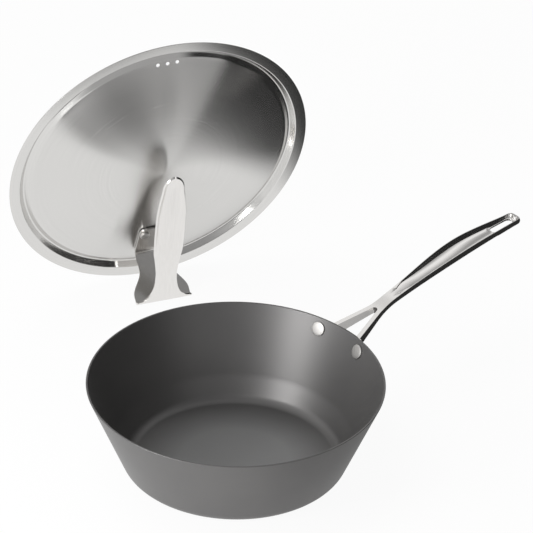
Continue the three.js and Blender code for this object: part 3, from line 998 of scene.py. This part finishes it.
    def section(self, inner: Vector, outer: Vector) -> list[Vector]:
        """Draws one closed section of the left half.

        Args:
            inner: The section's inner end, in plan.
            outer: The section's outer end, in plan.

        Returns:
            Points round the section, from the inner end over the top, down the side and back underneath.
        """
        across = outer - inner
        width, x = across.length, inner.x
        lip, sunk, depth = self.lip_at(x, width), self.channel_drop(x), self.depth(x)
        wall = min(max(self.channel_wall_run * sunk, self.least_wall), 0.7 * (width - lip))
        floor = width - lip - wall
        rim = self.pan.rim_radius
        growth = [(rim + self.neck_out, 0.3), (rim + 0.8 * self.grip_out, 1), (rim + self.tip_out, 1)]
        draft = min(self.draft * eased(growth, x), 0.6 * lip)
        # Each spot is how far in from the outer edge it lies, and how far below the top
        spots = [
            (width, sunk),
            (lip + wall + 0.55 * floor, 0.985 * sunk),
            (lip + wall + 0.2 * floor, 0.93 * sunk),
            (lip + wall, 0.85 * sunk),
            (lip + 0.88 * wall, 0.77 * sunk),
            (lip + 0.5 * wall, 0.45 * sunk),
            (lip + 0.1 * wall, 0.08 * sunk),
            (lip, 0.0),
            (draft, 0.0),
            (0.8 * draft, 0.05 * depth),
            (0.35 * draft, 0.3 * depth),
            (0.05 * draft, 0.58 * depth),
            (0.15 * draft, 0.76 * depth),
            (0.1 * width, 0.94 * depth),
            (0.25 * width, depth),
            (0.7 * width, depth),
            (width, depth),
        ]
        points = []
        for from_edge, drop in spots:
            at = outer - across * (from_edge / width)
            points.append(Vector((at.x, at.y, self.top(at.x) - drop)))
        return points

    def half(self) -> bpy.types.Object:
        """Lofts the left half over its rails and mirrors it.

        Returns:
            The handle without its feet.
        """
        sections = [self.section(inner, outer) for inner, outer in self.stations()]
        # The arm starts inside its foot, along the wall's slope
        for point in sections[0]:
            wall = self.pan.radius_at(point.z) + self.foot_thickness * self.foot_sink
            point.x = math.sqrt(wall**2 - point.y**2)
        rails = [list(rail) for rail in zip(*sections)]
        piece = loft("cast_handle", rails, closed=True)
        select_points(piece, sections[0])
        bpy.ops.mesh.edge_face_add()
        select_faces(piece, lambda face: all(abs(v.co.y) < SAME_PLACE for v in face.verts))
        bpy.ops.mesh.delete(type="FACE")
        close_up(piece)
        mirror_half(piece)
        round_edges(piece, self.edge_round, self.edge_steps, self.crisp_angle)
        return piece

    def foot(self) -> bpy.types.Object:
        """Spins a foot along the wall and rounds its ends.

        Returns:
            The left foot.
        """
        pan = self.pan
        up = Vector((math.sin(pan.wall_lean), math.cos(pan.wall_lean)))
        out = Vector((math.cos(pan.wall_lean), -math.sin(pan.wall_lean)))
        middle = Vector((pan.radius_at(self.rivet_height), self.rivet_height))
        low, high = self.seat_gap, self.seat_gap + self.foot_thickness
        corners = [
            middle + out * low - up * self.foot_radius,
            middle + out * high - up * self.foot_radius,
            middle + out * high + up * self.foot_radius,
            middle + out * low + up * self.foot_radius,
        ]
        arm = math.atan2(self.arm_line(middle.x, self.crotch_radius + self.arm_width / 2), middle.x)
        end = self.foot_radius / middle.x
        start_turn, end_turn = arm - end, self.rivet_turn + end
        piece = start_piece("foot")
        draw_rail([Matrix.Rotation(start_turn, 3, "Z") @ Vector((c.x, 0, c.y)) for c in corners])
        bpy.ops.mesh.select_all(action="SELECT")
        bpy.ops.mesh.edge_face_add()
        swing = end_turn - start_turn
        bpy.ops.mesh.spin(steps=self.foot_steps, angle=swing, center=(0, 0, 0), axis=(0, 0, 1))
        mesh = bmesh.from_edit_mesh(piece.data)
        bpy.ops.mesh.select_all(action="DESELECT")
        for edge in mesh.edges:
            turns = [math.atan2(v.co.y, v.co.x) for v in edge.verts]
            at_end = any(all(abs(t - e) < SAME_TURN for t in turns) for e in (start_turn, end_turn))
            rise = abs(edge.verts[0].co.z - edge.verts[1].co.z)
            edge.select_set(at_end and rise < self.foot_radius)
        bmesh.update_edit_mesh(piece.data)
        bpy.ops.mesh.bevel(offset=self.foot_end_share * self.foot_radius, segments=self.foot_end_steps)
        close_up(piece)
        round_edges(piece, 2 * self.edge_round, self.edge_steps, self.crisp_angle)
        return piece

    def build(self) -> bpy.types.Object:
        """Joins the feet to the arms.

        Returns:
            The handle.
        """
        piece = self.half()
        left = self.foot()
        right = copy_of(left, "right_foot")
        place(right, Matrix.Diagonal((1, -1, 1, 1)))
        for foot in (left, right):
            close_up(foot)
            cut_or_join(piece, foot, "UNION")
        close_up(piece, self.smooth_angle)
        return piece

    def dress(self, piece: bpy.types.Object) -> None:
        """Gives the handle its finish and its place in the frame."""
        steel = PolishedSteel("polished_cast_stainless_steel")
        hand_over(piece, steel.material(), Body.PAN, "pan_handle")

    def rivets(self, material: bpy.types.Material) -> None:
        """Sets a rivet through each foot, with its head inside the pan.

        Args:
            material: The rivets' steel.
        """
        pan, seat = self.pan, self.rivet_seat
        model = Rivet(
            head_radius=7.3 * MM,
            head_height=1.8 * MM,
            shank_radius=3 * MM,
            grip=seat + pan.wall + 2 * self.seat_gap + self.foot_thickness,
            tail_radius=5 * MM,
            tail_height=1.5 * MM,
        ).build("pan_rivet")
        inwards = Matrix.Translation((0, 0, -pan.wall - seat)) @ Matrix.Rotation(math.pi, 4, "X")
        for side in Side:
            piece = copy_of(model, f"{side.name.lower()}_pan_rivet")
            on_wall = (
                Matrix.Rotation(side.value * self.rivet_turn, 4, "Z")
                @ Matrix.Translation((pan.radius_at(self.rivet_height), 0, self.rivet_height))
                @ Matrix.Rotation(math.pi / 2 + pan.wall_lean, 4, "Y")
            )
            place(piece, on_wall @ inwards)
            hand_over(piece, material, Body.PAN, f"pan_rivet_{side.name.lower()}")
        bpy.data.objects.remove(model)


# The lid


@dataclass
class TurnedLid:
    """The lid in its own frame: +Z out of its top, zero at the flange, +X towards its handle's fold."""

    pan: PressedPan
    overhang: float = 8 * MM
    edge_inset: float = 0.4 * MM
    edge_bulge: float = 0.15 * MM
    sheet: float = 1 * MM
    seat_clearance: float = 0.6 * MM
    flange_bend: float = 1.6 * MM
    groove_depth: float = 6.3 * MM
    groove_run: float = 5.2 * MM
    groove_bend: float = 1.8 * MM
    shoulder_run: float = 5 * MM
    shoulder_rise: float = 4 * MM
    shoulder_bend: float = 6 * MM
    dome_rise: float = 20.5 * MM
    vent_radius: float = 2 * MM
    vent_pitch: float = 10.3 * MM
    vent_inset: float = 4.5 * MM
    vent_count: int = 3
    vent_steps: int = 32
    turn_steps: int = 192
    bend_steps: int = 8
    dome_steps: int = 30

    @property
    def radius(self) -> float:
        """The lid's outer radius."""
        return self.pan.rim_radius + self.overhang

    @property
    def flange_inner(self) -> float:
        """Where the flange bends down into the groove, so that the groove's wall clears the pan's rim.

        Returns:
            The radius there.
        """
        rim_inner = self.pan.rim_radius - self.pan.wall / math.cos(self.pan.wall_lean)
        lean = math.atan2(self.groove_run, self.groove_depth)
        return rim_inner - self.seat_clearance - self.sheet / math.cos(lean) + self.sheet * math.tan(lean)

    @property
    def dome_edge(self) -> float:
        """Where the shoulder meets the dome."""
        return self.flange_inner - self.groove_run - self.shoulder_run

    @property
    def dome_edge_height(self) -> float:
        """How high the dome's edge lies."""
        return self.shoulder_rise - self.groove_depth

    @property
    def dome_radius(self) -> float:
        """The radius that the dome is curved to."""
        cap = self.dome_rise - self.dome_edge_height
        return (self.dome_edge**2 + cap**2) / (2 * cap)

    def dome_height(self, reach: float) -> float:
        """The dome's height at a distance from its middle."""
        return self.dome_rise - self.dome_radius + math.sqrt(self.dome_radius**2 - reach**2)

    def build(self) -> bpy.types.Object:
        """Turns the lid over its top face and back along its underside, and cuts its vents.

        Returns:
            The lid, in its own frame.
        """
        edge = self.radius - self.edge_inset
        edge_angle = math.asin(self.dome_edge / self.dome_radius)
        groove = self.flange_inner - self.groove_run
        apex = self.dome_edge_height + self.dome_edge * math.tan(edge_angle)
        top = bent_line(
            [
                (edge, 0),
                (self.flange_inner, 0, self.flange_bend),
                (groove, -self.groove_depth, self.groove_bend),
                (self.dome_edge, self.dome_edge_height, self.shoulder_bend),
                (0, apex),
            ],
            self.bend_steps,
        )[:-1]
        for i in range(1, self.dome_steps + 1):
            angle = edge_angle * (1 - i / self.dome_steps)
            point = Vector((math.sin(angle), math.cos(angle))) * self.dome_radius
            top.append(point + Vector((0, self.dome_rise - self.dome_radius)))
        under = []
        for i, here in enumerate(top):
            along = top[min(i + 1, len(top) - 1)] - top[max(i - 1, 0)]
            down = Vector((along.y, -along.x)).normalized()
            under.append(here - down * self.sheet if down.y > 0 else here + down * self.sheet)
        under[-1].x = 0
        rim = [Vector((edge + self.edge_bulge, -self.sheet * share)) for share in (0.25, 0.75)]
        piece = turn_profile("turned_lid", [*reversed(top), *rim, *under], self.turn_steps)
        for i in range(self.vent_count):
            across = (i - (self.vent_count - 1) / 2) * self.vent_pitch
            rest_tools()
            bpy.ops.mesh.primitive_cylinder_add(
                vertices=self.vent_steps, radius=self.vent_radius, depth=2 * self.dome_rise,
                location=(self.vent_inset - self.dome_edge, across, 0),
            )
            cut_or_join(piece, bpy.context.active_object, "DIFFERENCE")
        close_up(piece)
        return piece


@dataclass
class BentLidHandle:
    """The lid's handle, one bent strip: a plate on the dome, a fold that the lid stands on, a dished grip."""

    lid: TurnedLid
    sheet: float = 2 * MM
    seat_gap: float = 0.3 * MM
    plate_reach: float = 100 * MM
    plate_inner: float = 20 * MM
    plate_outer: float = 21 * MM
    plate_width: float = 34 * MM
    plate_corner: float = 7 * MM
    plate_bend: float = 5 * MM
    plate_straight: float = 20 * MM
    plate_flare: float = 26 * MM
    fold_overhang: float = 8.8 * MM
    fold_height: float = 54 * MM
    fold_width: float = 58 * MM
    fold_bend: float = 3 * MM
    fold_band: float = 5 * MM
    neck_from_fold: float = 38 * MM
    neck_width: float = 22 * MM
    grip_from_fold: float = 104 * MM
    grip_width: float = 31 * MM
    grip_length: float = 168 * MM
    tip_width: float = 22.4 * MM
    tip_round: float = 17 * MM
    tip_height: float = 48 * MM
    dish_start: float = 26 * MM
    dish_depth: float = 4.5 * MM
    dish_flatness: float = 2.8
    rivet_back: float = 10 * MM
    rivet_margin: float = 6 * MM
    edge_round: float = 0.45 * MM
    crisp_angle: float = 60.0
    station_gap: float = 0.2 * MM
    neck_gap: float = 0.1 * MM
    tip_turn: float = math.radians(7.6)
    edge_steps: int = 3
    bend_steps: int = 8
    corner_steps: int = 7
    plate_steps: int = 8
    rise_steps: int = 24
    neck_steps: int = 12
    grip_steps: int = 30
    tip_steps: int = 12
    lanes: tuple[float, ...] = (0.0, 0.22, 0.42, 0.58, 0.7, 0.8, 0.88, 0.95, 1.0)

    @property
    def plate_slope(self) -> float:
        """How steeply the plate lies on the dome."""
        return math.asin(self.plate_reach / self.lid.dome_radius)

    def on_plate(self, along: float, lift: float) -> tuple[float, float]:
        """Finds a place on the plate in side view.

        Args:
            along: How far along the plate it lies from the plate's middle.
            lift: How far it is lifted off the dome.

        Returns:
            Its reach and its height in the lid's own frame.
        """
        slope = self.plate_slope
        x = self.plate_reach + along * math.cos(slope) + lift * math.sin(slope)
        return x, self.lid.dome_height(self.plate_reach) - along * math.sin(slope) + lift * math.cos(slope)

    def corners(self) -> list[tuple[float, ...]]:
        """Lays out the strip's middle line in side view.

        Returns:
            The plate's end, the plate's bend, the fold and the grip's tip.
        """
        lift = self.seat_gap + self.sheet / 2
        fold = self.lid.radius - self.fold_overhang
        return [
            self.on_plate(-self.plate_inner, lift),
            (*self.on_plate(self.plate_outer, lift), self.plate_bend),
            (fold, self.fold_height, self.fold_bend),
            (fold - self.grip_length, self.tip_height),
        ]

    def standing_lean(self) -> float:
        """Works out how the lid leans when it stands.

        Returns:
            The lean at which the rim's lowest point and the fold both touch the surface.
        """
        corners = self.corners()
        here = Vector(corners[2][:2])
        back = (Vector(corners[1][:2]) - here).normalized()
        ahead = (Vector(corners[3][:2]) - here).normalized()
        half = back.angle(ahead) / 2
        centre = here + (back + ahead).normalized() * (self.fold_bend / math.sin(half))
        behind = self.lid.radius - centre.x
        foot = self.fold_bend + self.sheet / 2
        return math.acos(foot / math.hypot(behind, centre.y)) - math.atan2(centre.y, behind)

    def rise_half_width(self, along: float) -> float:
        """Reads half the width of the plate's rising part.

        Args:
            along: The distance from the plate's bend.

        Returns:
            Half the width.
        """
        low, high = self.plate_width / 2, self.fold_width / 2
        t = min(max((along - self.plate_straight) / self.plate_flare, 0), 1)
        return low + (high - low) * t * t * (3 - 2 * t)

    def grip_stations(self) -> list[tuple[float, float]]:
        """Lists the grip's stations from the fold's band to the tip.

        Returns:
            For each station its distance from the fold and half its width.
        """
        wide, thin = self.fold_width / 2, self.neck_width / 2
        stations = [(self.fold_band * 0.6, wide)]
        for i in range(self.neck_steps + 1):
            t = i / self.neck_steps
            along = (1 - t * t) * self.fold_band + t * t * self.neck_from_fold
            half = thin + (1 - t) ** 2 * (wide - thin)
            stations.append((along + self.neck_gap * i, half))
        round_start = self.grip_length - self.tip_round
        knots = [
            (self.neck_from_fold - 8 * MM, thin),
            (self.neck_from_fold + 2 * MM, thin),
            (self.neck_from_fold + 20 * MM, thin + 2.2 * MM),
            (self.grip_from_fold - 35 * MM, self.grip_width / 2 - 0.5 * MM),
            (self.grip_from_fold, self.grip_width / 2),
            (self.grip_from_fold + 20 * MM, self.grip_width / 2 - 0.7 * MM),
            (round_start, self.tip_width / 2),
            (round_start + 8 * MM, self.tip_width / 2 - 2 * MM),
        ]
        first = self.neck_from_fold + 4 * MM
        stations += [(along, eased(knots, along)) for along in spread(first, round_start, self.grip_steps)]
        for i in range(self.tip_steps):
            angle = self.tip_turn * i
            along = round_start + self.tip_round * math.sin(angle)
            stations.append((along, self.tip_width / 2 * math.cos(angle)))
        return stations

    def dish_at(self, along: float) -> float:
        """Reads how far the grip's floor is sunk.

        Args:
            along: The distance from the fold.

        Returns:
            The depth of the dish.
        """
        knots = [
            (self.dish_start, 0.0),
            (self.dish_start + 22 * MM, 0.45),
            (self.grip_from_fold - 20 * MM, 0.96),
            (self.grip_from_fold + 10 * MM, 1.0),
            (self.grip_length - self.tip_round, 0.85),
            (self.grip_length - 3 * MM, 0.25),
            (self.grip_length, 0.1),
        ]
        return self.dish_depth * eased(knots, along)

    def line(self) -> list[tuple[Vector, Vector, float, float]]:
        """Runs along the strip station by station.

        Returns:
            For each station its place and normal in side view, half its width and how far it is dished.
        """
        corners = self.corners()
        start, bend, fold, end = (Vector(c[:2]) for c in corners)
        path = bent_line(corners, self.bend_steps)
        first_bend, second_bend = path[1 : self.bend_steps + 2], path[self.bend_steps + 2 : -1]
        stations: list[tuple[Vector, Vector, float, float]] = []

        def add(point: Vector, along: Vector, half: float, dish: float = 0.0) -> None:
            """Adds a station with the normal on the left of its line."""
            stations.append((point, Vector((-along.y, along.x)).normalized(), half, dish))

        plate = (first_bend[0] - start).normalized()
        plate_length = (first_bend[0] - start).length
        corner = self.plate_corner
        for angle in spread(0, math.pi / 2, self.corner_steps):
            add(
                start + plate * corner * (1 - math.cos(angle)), plate,
                self.plate_width / 2 - corner * (1 - math.sin(angle)),
            )
        for along in spread(corner, plate_length, self.plate_steps):
            add(start + plate * along, plate, self.plate_width / 2)
        rise = (fold - bend).normalized()
        for i, point in enumerate(first_bend):
            turn = i / self.bend_steps
            add(point, plate.lerp(rise, turn), self.rise_half_width((point - bend).dot(rise)))
        low, high = (first_bend[-1] - bend).dot(rise), (second_bend[0] - bend).dot(rise)
        for along in spread(low, high, self.rise_steps)[1:]:
            add(bend + rise * along, rise, self.rise_half_width(along))
        grip = (end - fold).normalized()
        swing = math.atan2(rise.cross(grip), rise.dot(grip))
        for i, point in enumerate(second_bend):
            add(point, Matrix.Rotation(swing * i / self.bend_steps, 2) @ rise, self.fold_width / 2)
        reached = (second_bend[-1] - fold).dot(grip)
        for along, half in self.grip_stations():
            if along > reached + self.station_gap:
                add(fold + grip * along, grip, half, self.dish_at(along))
        return stations

    def build(self) -> bpy.types.Object:
        """Lofts one half of the strip's middle face, mirrors it and thickens it.

        Returns:
            The handle, in the lid's own frame.
        """
        rails: list[list[Vector]] = [[] for lane in self.lanes]
        for point, normal, half, dish in self.line():
            for rail, lane in zip(rails, self.lanes):
                sunk = dish * (1 - lane**self.dish_flatness)
                at = point + normal * sunk
                rail.append(Vector((at.x, lane * half, at.y)))
        piece = loft("bent_lid_handle", rails, closed=False)
        close_up(piece, self.crisp_angle)
        mirror_half(piece)
        finish_with(piece, "SOLIDIFY", thickness=self.sheet, offset=0, use_even_offset=True)
        round_edges(piece, self.edge_round, self.edge_steps, self.crisp_angle)
        close_up(piece)
        return piece


@dataclass
class StandingLid:
    """The lid with its handle and rivets, standing beside the pan."""

    pan: PressedPan
    bearing: float = math.radians(60.8)
    stand_off: float = 175 * MM
    facing: float = math.radians(-113.7)
    rivet_slack: float = 0.9 * MM

    def __post_init__(self) -> None:
        """Works out the lid's own frame from how it stands."""
        self.lid = TurnedLid(self.pan)
        self.handle = BentLidHandle(self.lid)
        lean = self.handle.standing_lean()
        distance = self.pan.rim_radius + self.stand_off
        x, y = distance * math.cos(self.bearing), distance * math.sin(self.bearing)
        spot = Vector((x, y, self.lid.radius * math.cos(lean)))
        self.frame = (
            Matrix.Translation(spot)
            @ Matrix.Rotation(self.facing, 4, "Z")
            @ Matrix.Rotation(math.pi / 2 + lean, 4, "Y")
        )

    def build(self, rivet_steel: bpy.types.Material) -> None:
        """Builds and dresses the lid, its handle and its rivets.

        Args:
            rivet_steel: The rivets' steel.
        """
        panel = self.lid.build()
        place(panel, self.frame)
        hand_over(panel, TurnedSteel(self.frame).material(), Body.LID, "lid_panel")
        strip = self.handle.build()
        place(strip, self.frame)
        along = self.frame.to_3x3() @ Vector((1, 0, 0))
        steel = PolishedSteel("satin_stainless_strip", roughness=(0.17, 0.25), along=along)
        hand_over(strip, steel.material(), Body.LID, "lid_handle")
        self.rivets(rivet_steel)

    def rivets(self, material: bpy.types.Material) -> None:
        """Sets a rivet through each side of the plate.

        Args:
            material: The rivets' steel.
        """
        handle = self.handle
        seat = handle.seat_gap + handle.sheet
        model = Rivet(
            head_radius=5 * MM,
            head_height=2 * MM,
            shank_radius=2.4 * MM,
            grip=seat + self.lid.sheet + self.rivet_slack,
            tail_radius=4.4 * MM,
            tail_height=1.2 * MM,
        ).build("lid_rivet")
        middle_x, middle_z = handle.on_plate(0, 0)
        for side in Side:
            piece = copy_of(model, f"{side.name.lower()}_lid_rivet")
            across = -side.value * (handle.plate_width / 2 - handle.rivet_margin)
            on_plate = (
                Matrix.Translation((middle_x, 0, middle_z))
                @ Matrix.Rotation(handle.plate_slope, 4, "Y")
                @ Matrix.Translation((-handle.rivet_back, across, seat))
            )
            place(piece, self.frame @ on_plate)
            hand_over(piece, material, Body.LID, f"lid_rivet_{side.name.lower()}")
        bpy.data.objects.remove(model)


# The studio


@dataclass(frozen=True)
class LevelStep:
    """A smooth step of light along a way, between two places on the floor or two shares of a direction.

    The levels before and past it are numbers, or the names of earlier steps.
    """

    way: Vector
    start: float
    end: float
    before: float | str
    past: float | str


@dataclass(frozen=True)
class Softbox:
    """A square soft lamp that points at the pan, with the way to it from the pan."""

    name: str
    way: tuple[float, float, float]
    distance: float
    side: float
    power: float
    in_metal: bool

    def build(self) -> None:
        """Hangs the lamp, out of the camera's sight."""
        data = bpy.data.lights.new(self.name, "AREA")
        data.shape = "SQUARE"
        data.size = self.side
        data.energy = self.power
        lamp = bpy.data.objects.new(self.name, data)
        way = Vector(self.way).normalized()
        turn = way.to_track_quat("Z", "Y").to_matrix().to_4x4()
        lamp.matrix_world = Matrix.Translation(way * self.distance) @ turn
        lamp.visible_camera = False
        lamp.visible_glossy = self.in_metal
        bpy.context.scene.collection.objects.link(lamp)


@dataclass
class Studio:
    """A white floor, soft light and a long lens at the photograph's angle."""

    pan: PressedPan
    azimuth: float = math.radians(-43.93)
    elevation: float = math.radians(33.2)
    roll: float = math.radians(1.0)
    lens: float = 1500.0
    sensor: float = 36.0
    image_pixels: float = 533.0
    pixel: float = 0.997 * MM
    rim_centre_pixel: tuple[float, float] = (235.8, 383.8)
    floor_size: float = 60.0
    floor_drop: float = 0.2 * MM
    floor_colour: str = "#f4f4f4"
    floor_glow: float = 0.94
    floor_front_level: float = 1.02
    floor_front_right_level: float = 0.5
    floor_level: float = 1.0
    back_level: float = 1.1
    front_level: float = 0.6
    gap_level: float = 0.45
    overhead_level: float = 1.4
    middle_overhead_level: float = 0.5
    front_overhead_level: float = 0.32
    left_level: float = 1.0
    dark_level: float = 0.03
    softboxes: tuple[Softbox, ...] = (
        Softbox("left_softbox", (-0.885, 0.114, 0.454), distance=1.0, side=0.35, power=4.3, in_metal=True),
        Softbox("top_softbox", (-0.2, 0.3, 1.0), distance=2.0, side=1.2, power=12.0, in_metal=False),
    )

    def axes(self) -> tuple[Vector, Vector, Vector]:
        """Works out how the camera is turned, without its roll.

        Returns:
            Its right, up and backward directions.
        """
        a, e = self.azimuth, self.elevation
        back = Vector((math.sin(a) * math.cos(e), -math.cos(a) * math.cos(e), math.sin(e)))
        right = Vector((math.cos(a), math.sin(a), 0))
        return right, back.cross(right), back

    def level_ways(self) -> tuple[Vector, Vector]:
        """The level ways to the camera's right and away from it."""
        right, _, back = self.axes()
        return right, Vector((-back.x, -back.y, 0)).normalized()

    def camera(self) -> None:
        """Adds the camera, which sees the pan's rim centre at its pixel."""
        right, up, back = self.axes()
        turned = Quaternion(back, self.roll)
        right, up = turned @ right, turned @ up
        middle = self.image_pixels / 2
        x, y = self.rim_centre_pixel
        aim = Vector((0, 0, self.pan.height)) + (right * (middle - x) - up * (middle - y)) * self.pixel
        distance = self.pixel * self.image_pixels * self.lens / self.sensor
        data = bpy.data.cameras.new("camera")
        data.lens, data.sensor_width = self.lens, self.sensor
        data.clip_end = 4 * distance
        camera = bpy.data.objects.new("camera", data)
        turn = Matrix((right, up, back)).transposed().to_4x4()
        camera.matrix_world = Matrix.Translation(aim + back * distance) @ turn
        bpy.context.scene.collection.objects.link(camera)
        bpy.context.scene.camera = camera

    def light_steps(
        self, tree: bpy.types.NodeTree, place_or_way: Socket, steps: dict[str, LevelStep]
    ) -> Socket:
        """Lays steps of light over the floor's places or the surroundings' directions.

        Args:
            tree: The tree that they go into.
            place_or_way: The place or the direction that is shaded.
            steps: The steps by name, in order.

        Returns:
            The level that the last step gives.
        """
        levels: dict[float | str, Socket] = {}
        level = place_or_way
        for name, step in steps.items():
            along = add_node(
                tree, "ShaderNodeVectorMath",
                {0: place_or_way, 1: step.way.normalized()},
                operation="DOT_PRODUCT",
            )
            level = add_node(
                tree, "ShaderNodeMapRange",
                {
                    "Value": along.outputs["Value"],
                    "From Min": step.start,
                    "From Max": step.end,
                    "To Min": levels.get(step.before, step.before),
                    "To Max": levels.get(step.past, step.past),
                },
                interpolation_type="SMOOTHSTEP",
            ).outputs["Result"]
            levels[name] = level
        return level

    def rays(self, tree: bpy.types.NodeTree) -> tuple[Socket, Socket]:
        """Tells the eye's rays from those that metal sends on.

        Args:
            tree: The tree that asks.

        Returns:
            Whether a ray comes from the eye, straight or through glass, and whether it comes from metal.
        """
        path = add_node(tree, "ShaderNodeLightPath").outputs
        eye = add_node(
            tree, "ShaderNodeMath",
            {0: path["Is Camera Ray"], 1: path["Is Transmission Ray"]},
            operation="MAXIMUM",
        )
        return eye.outputs["Value"], path["Is Glossy Ray"]

    def floor(self) -> None:
        """Adds the floor, white to the eye, which keeps a faint shadow."""
        rest_tools()
        bpy.ops.mesh.primitive_plane_add(size=self.floor_size, location=(0, 0, -self.floor_drop))
        floor = bpy.context.active_object
        floor.name = "floor"
        material = bpy.data.materials.new("white_studio_floor")
        material.use_nodes = True
        tree = material.node_tree
        tree.nodes.clear()
        right, away = self.level_ways()
        spot = add_node(tree, "ShaderNodeTexCoord").outputs["Object"]
        # In metal the floor is white on the left, dim at the front right and dark at the far right
        steps = {
            "light": LevelStep(-away - right, 0.0, 200 * MM, self.floor_level, self.floor_front_level),
            "far": LevelStep(right, 75 * MM, 150 * MM, "light", self.dark_level),
            "front": LevelStep(right, -50 * MM, 200 * MM, "light", self.floor_front_right_level),
            "whole": LevelStep(right * 0.5 + away, 150 * MM, 210 * MM, "front", "far"),
        }
        level = self.light_steps(tree, spot, steps)
        eye, in_metal = self.rays(tree)
        strength = add_node(tree, "ShaderNodeMix", {"Factor": in_metal, LEVEL_A: 1.0, LEVEL_B: level})
        by_eye = add_node(tree, "ShaderNodeMath", {0: eye, 1: self.floor_glow}, operation="MULTIPLY")
        share = add_node(
            tree, "ShaderNodeMath", {0: by_eye.outputs["Value"], 1: in_metal}, operation="MAXIMUM"
        )
        matt = add_node(tree, "ShaderNodeBsdfDiffuse", {"Color": linear(self.floor_colour)})
        glow = add_node(
            tree, "ShaderNodeEmission",
            {"Color": linear("#ffffff"), "Strength": strength.outputs[LEVEL_OUT]},
        )
        both = add_node(
            tree, "ShaderNodeMixShader",
            {0: share.outputs["Value"], 1: matt.outputs["BSDF"], 2: glow.outputs["Emission"]},
        )
        add_node(tree, "ShaderNodeOutputMaterial", {"Surface": both.outputs["Shader"]})
        floor.data.materials.append(material)

    def world(self) -> None:
        """Adds the surroundings: white to the camera, else a tent, brightest overhead, dark on one side."""
        world = bpy.data.worlds.new("studio")
        bpy.context.scene.world = world
        world.use_nodes = True
        tree = world.node_tree
        tree.nodes.clear()
        up = Vector((0, 0, 1))
        right, away = self.level_ways()
        way = add_node(tree, "ShaderNodeTexCoord").outputs["Generated"]
        # Starts and ends are shares of each way: 1 looks straight along it and -1 straight back
        steps = {
            "walls": LevelStep(away, -0.35, 0.05, self.front_level, self.back_level),
            "middle": LevelStep(away, -0.15, 0.15, self.front_overhead_level, self.middle_overhead_level),
            "ceiling": LevelStep(away, 0.38, 0.68, "middle", self.overhead_level),
            "gap": LevelStep(up, 0.46, 0.52, "walls", self.gap_level),
            "tent": LevelStep(up, 0.58, 0.78, "gap", "ceiling"),
            "left": LevelStep(right, -0.55, -0.1, self.left_level, "tent"),
            "whole": LevelStep(right, 0.66, 0.78, "left", self.dark_level),
        }
        tent = self.light_steps(tree, way, steps)
        eye, _ = self.rays(tree)
        level = add_node(tree, "ShaderNodeMix", {"Factor": eye, LEVEL_A: tent, LEVEL_B: 1.0})
        background = add_node(tree, "ShaderNodeBackground", {"Strength": level.outputs[LEVEL_OUT]})
        add_node(tree, "ShaderNodeOutputWorld", {"Surface": background.outputs["Background"]})

    def build(self) -> None:
        """Sets up the camera, the floor, the surroundings and the lamps."""
        self.camera()
        self.floor()
        self.world()
        for softbox in self.softboxes:
            softbox.build()
        bpy.context.scene.view_settings.view_transform = "Standard"


def main() -> None:
    """Builds the pan, the lid and the studio, and logs each piece's face count."""
    logging.basicConfig(level=logging.INFO, format="%(message)s")
    pan = PressedPan()
    pan.dress(pan.build())
    handle = CastHandle(pan)
    handle.dress(handle.build())
    rivet_finish = PolishedSteel(
        "satin_rivet_steel", light="#d3d1cf", dark="#c4c2bf", roughness=(0.42, 0.52), line_length=3 * MM
    )
    rivet_steel = rivet_finish.material()
    handle.rivets(rivet_steel)
    lid = StandingLid(pan)
    lid.build(rivet_steel)
    Studio(pan).build()
    bpy.context.view_layer.update()


if __name__ == "__main__":
    main()
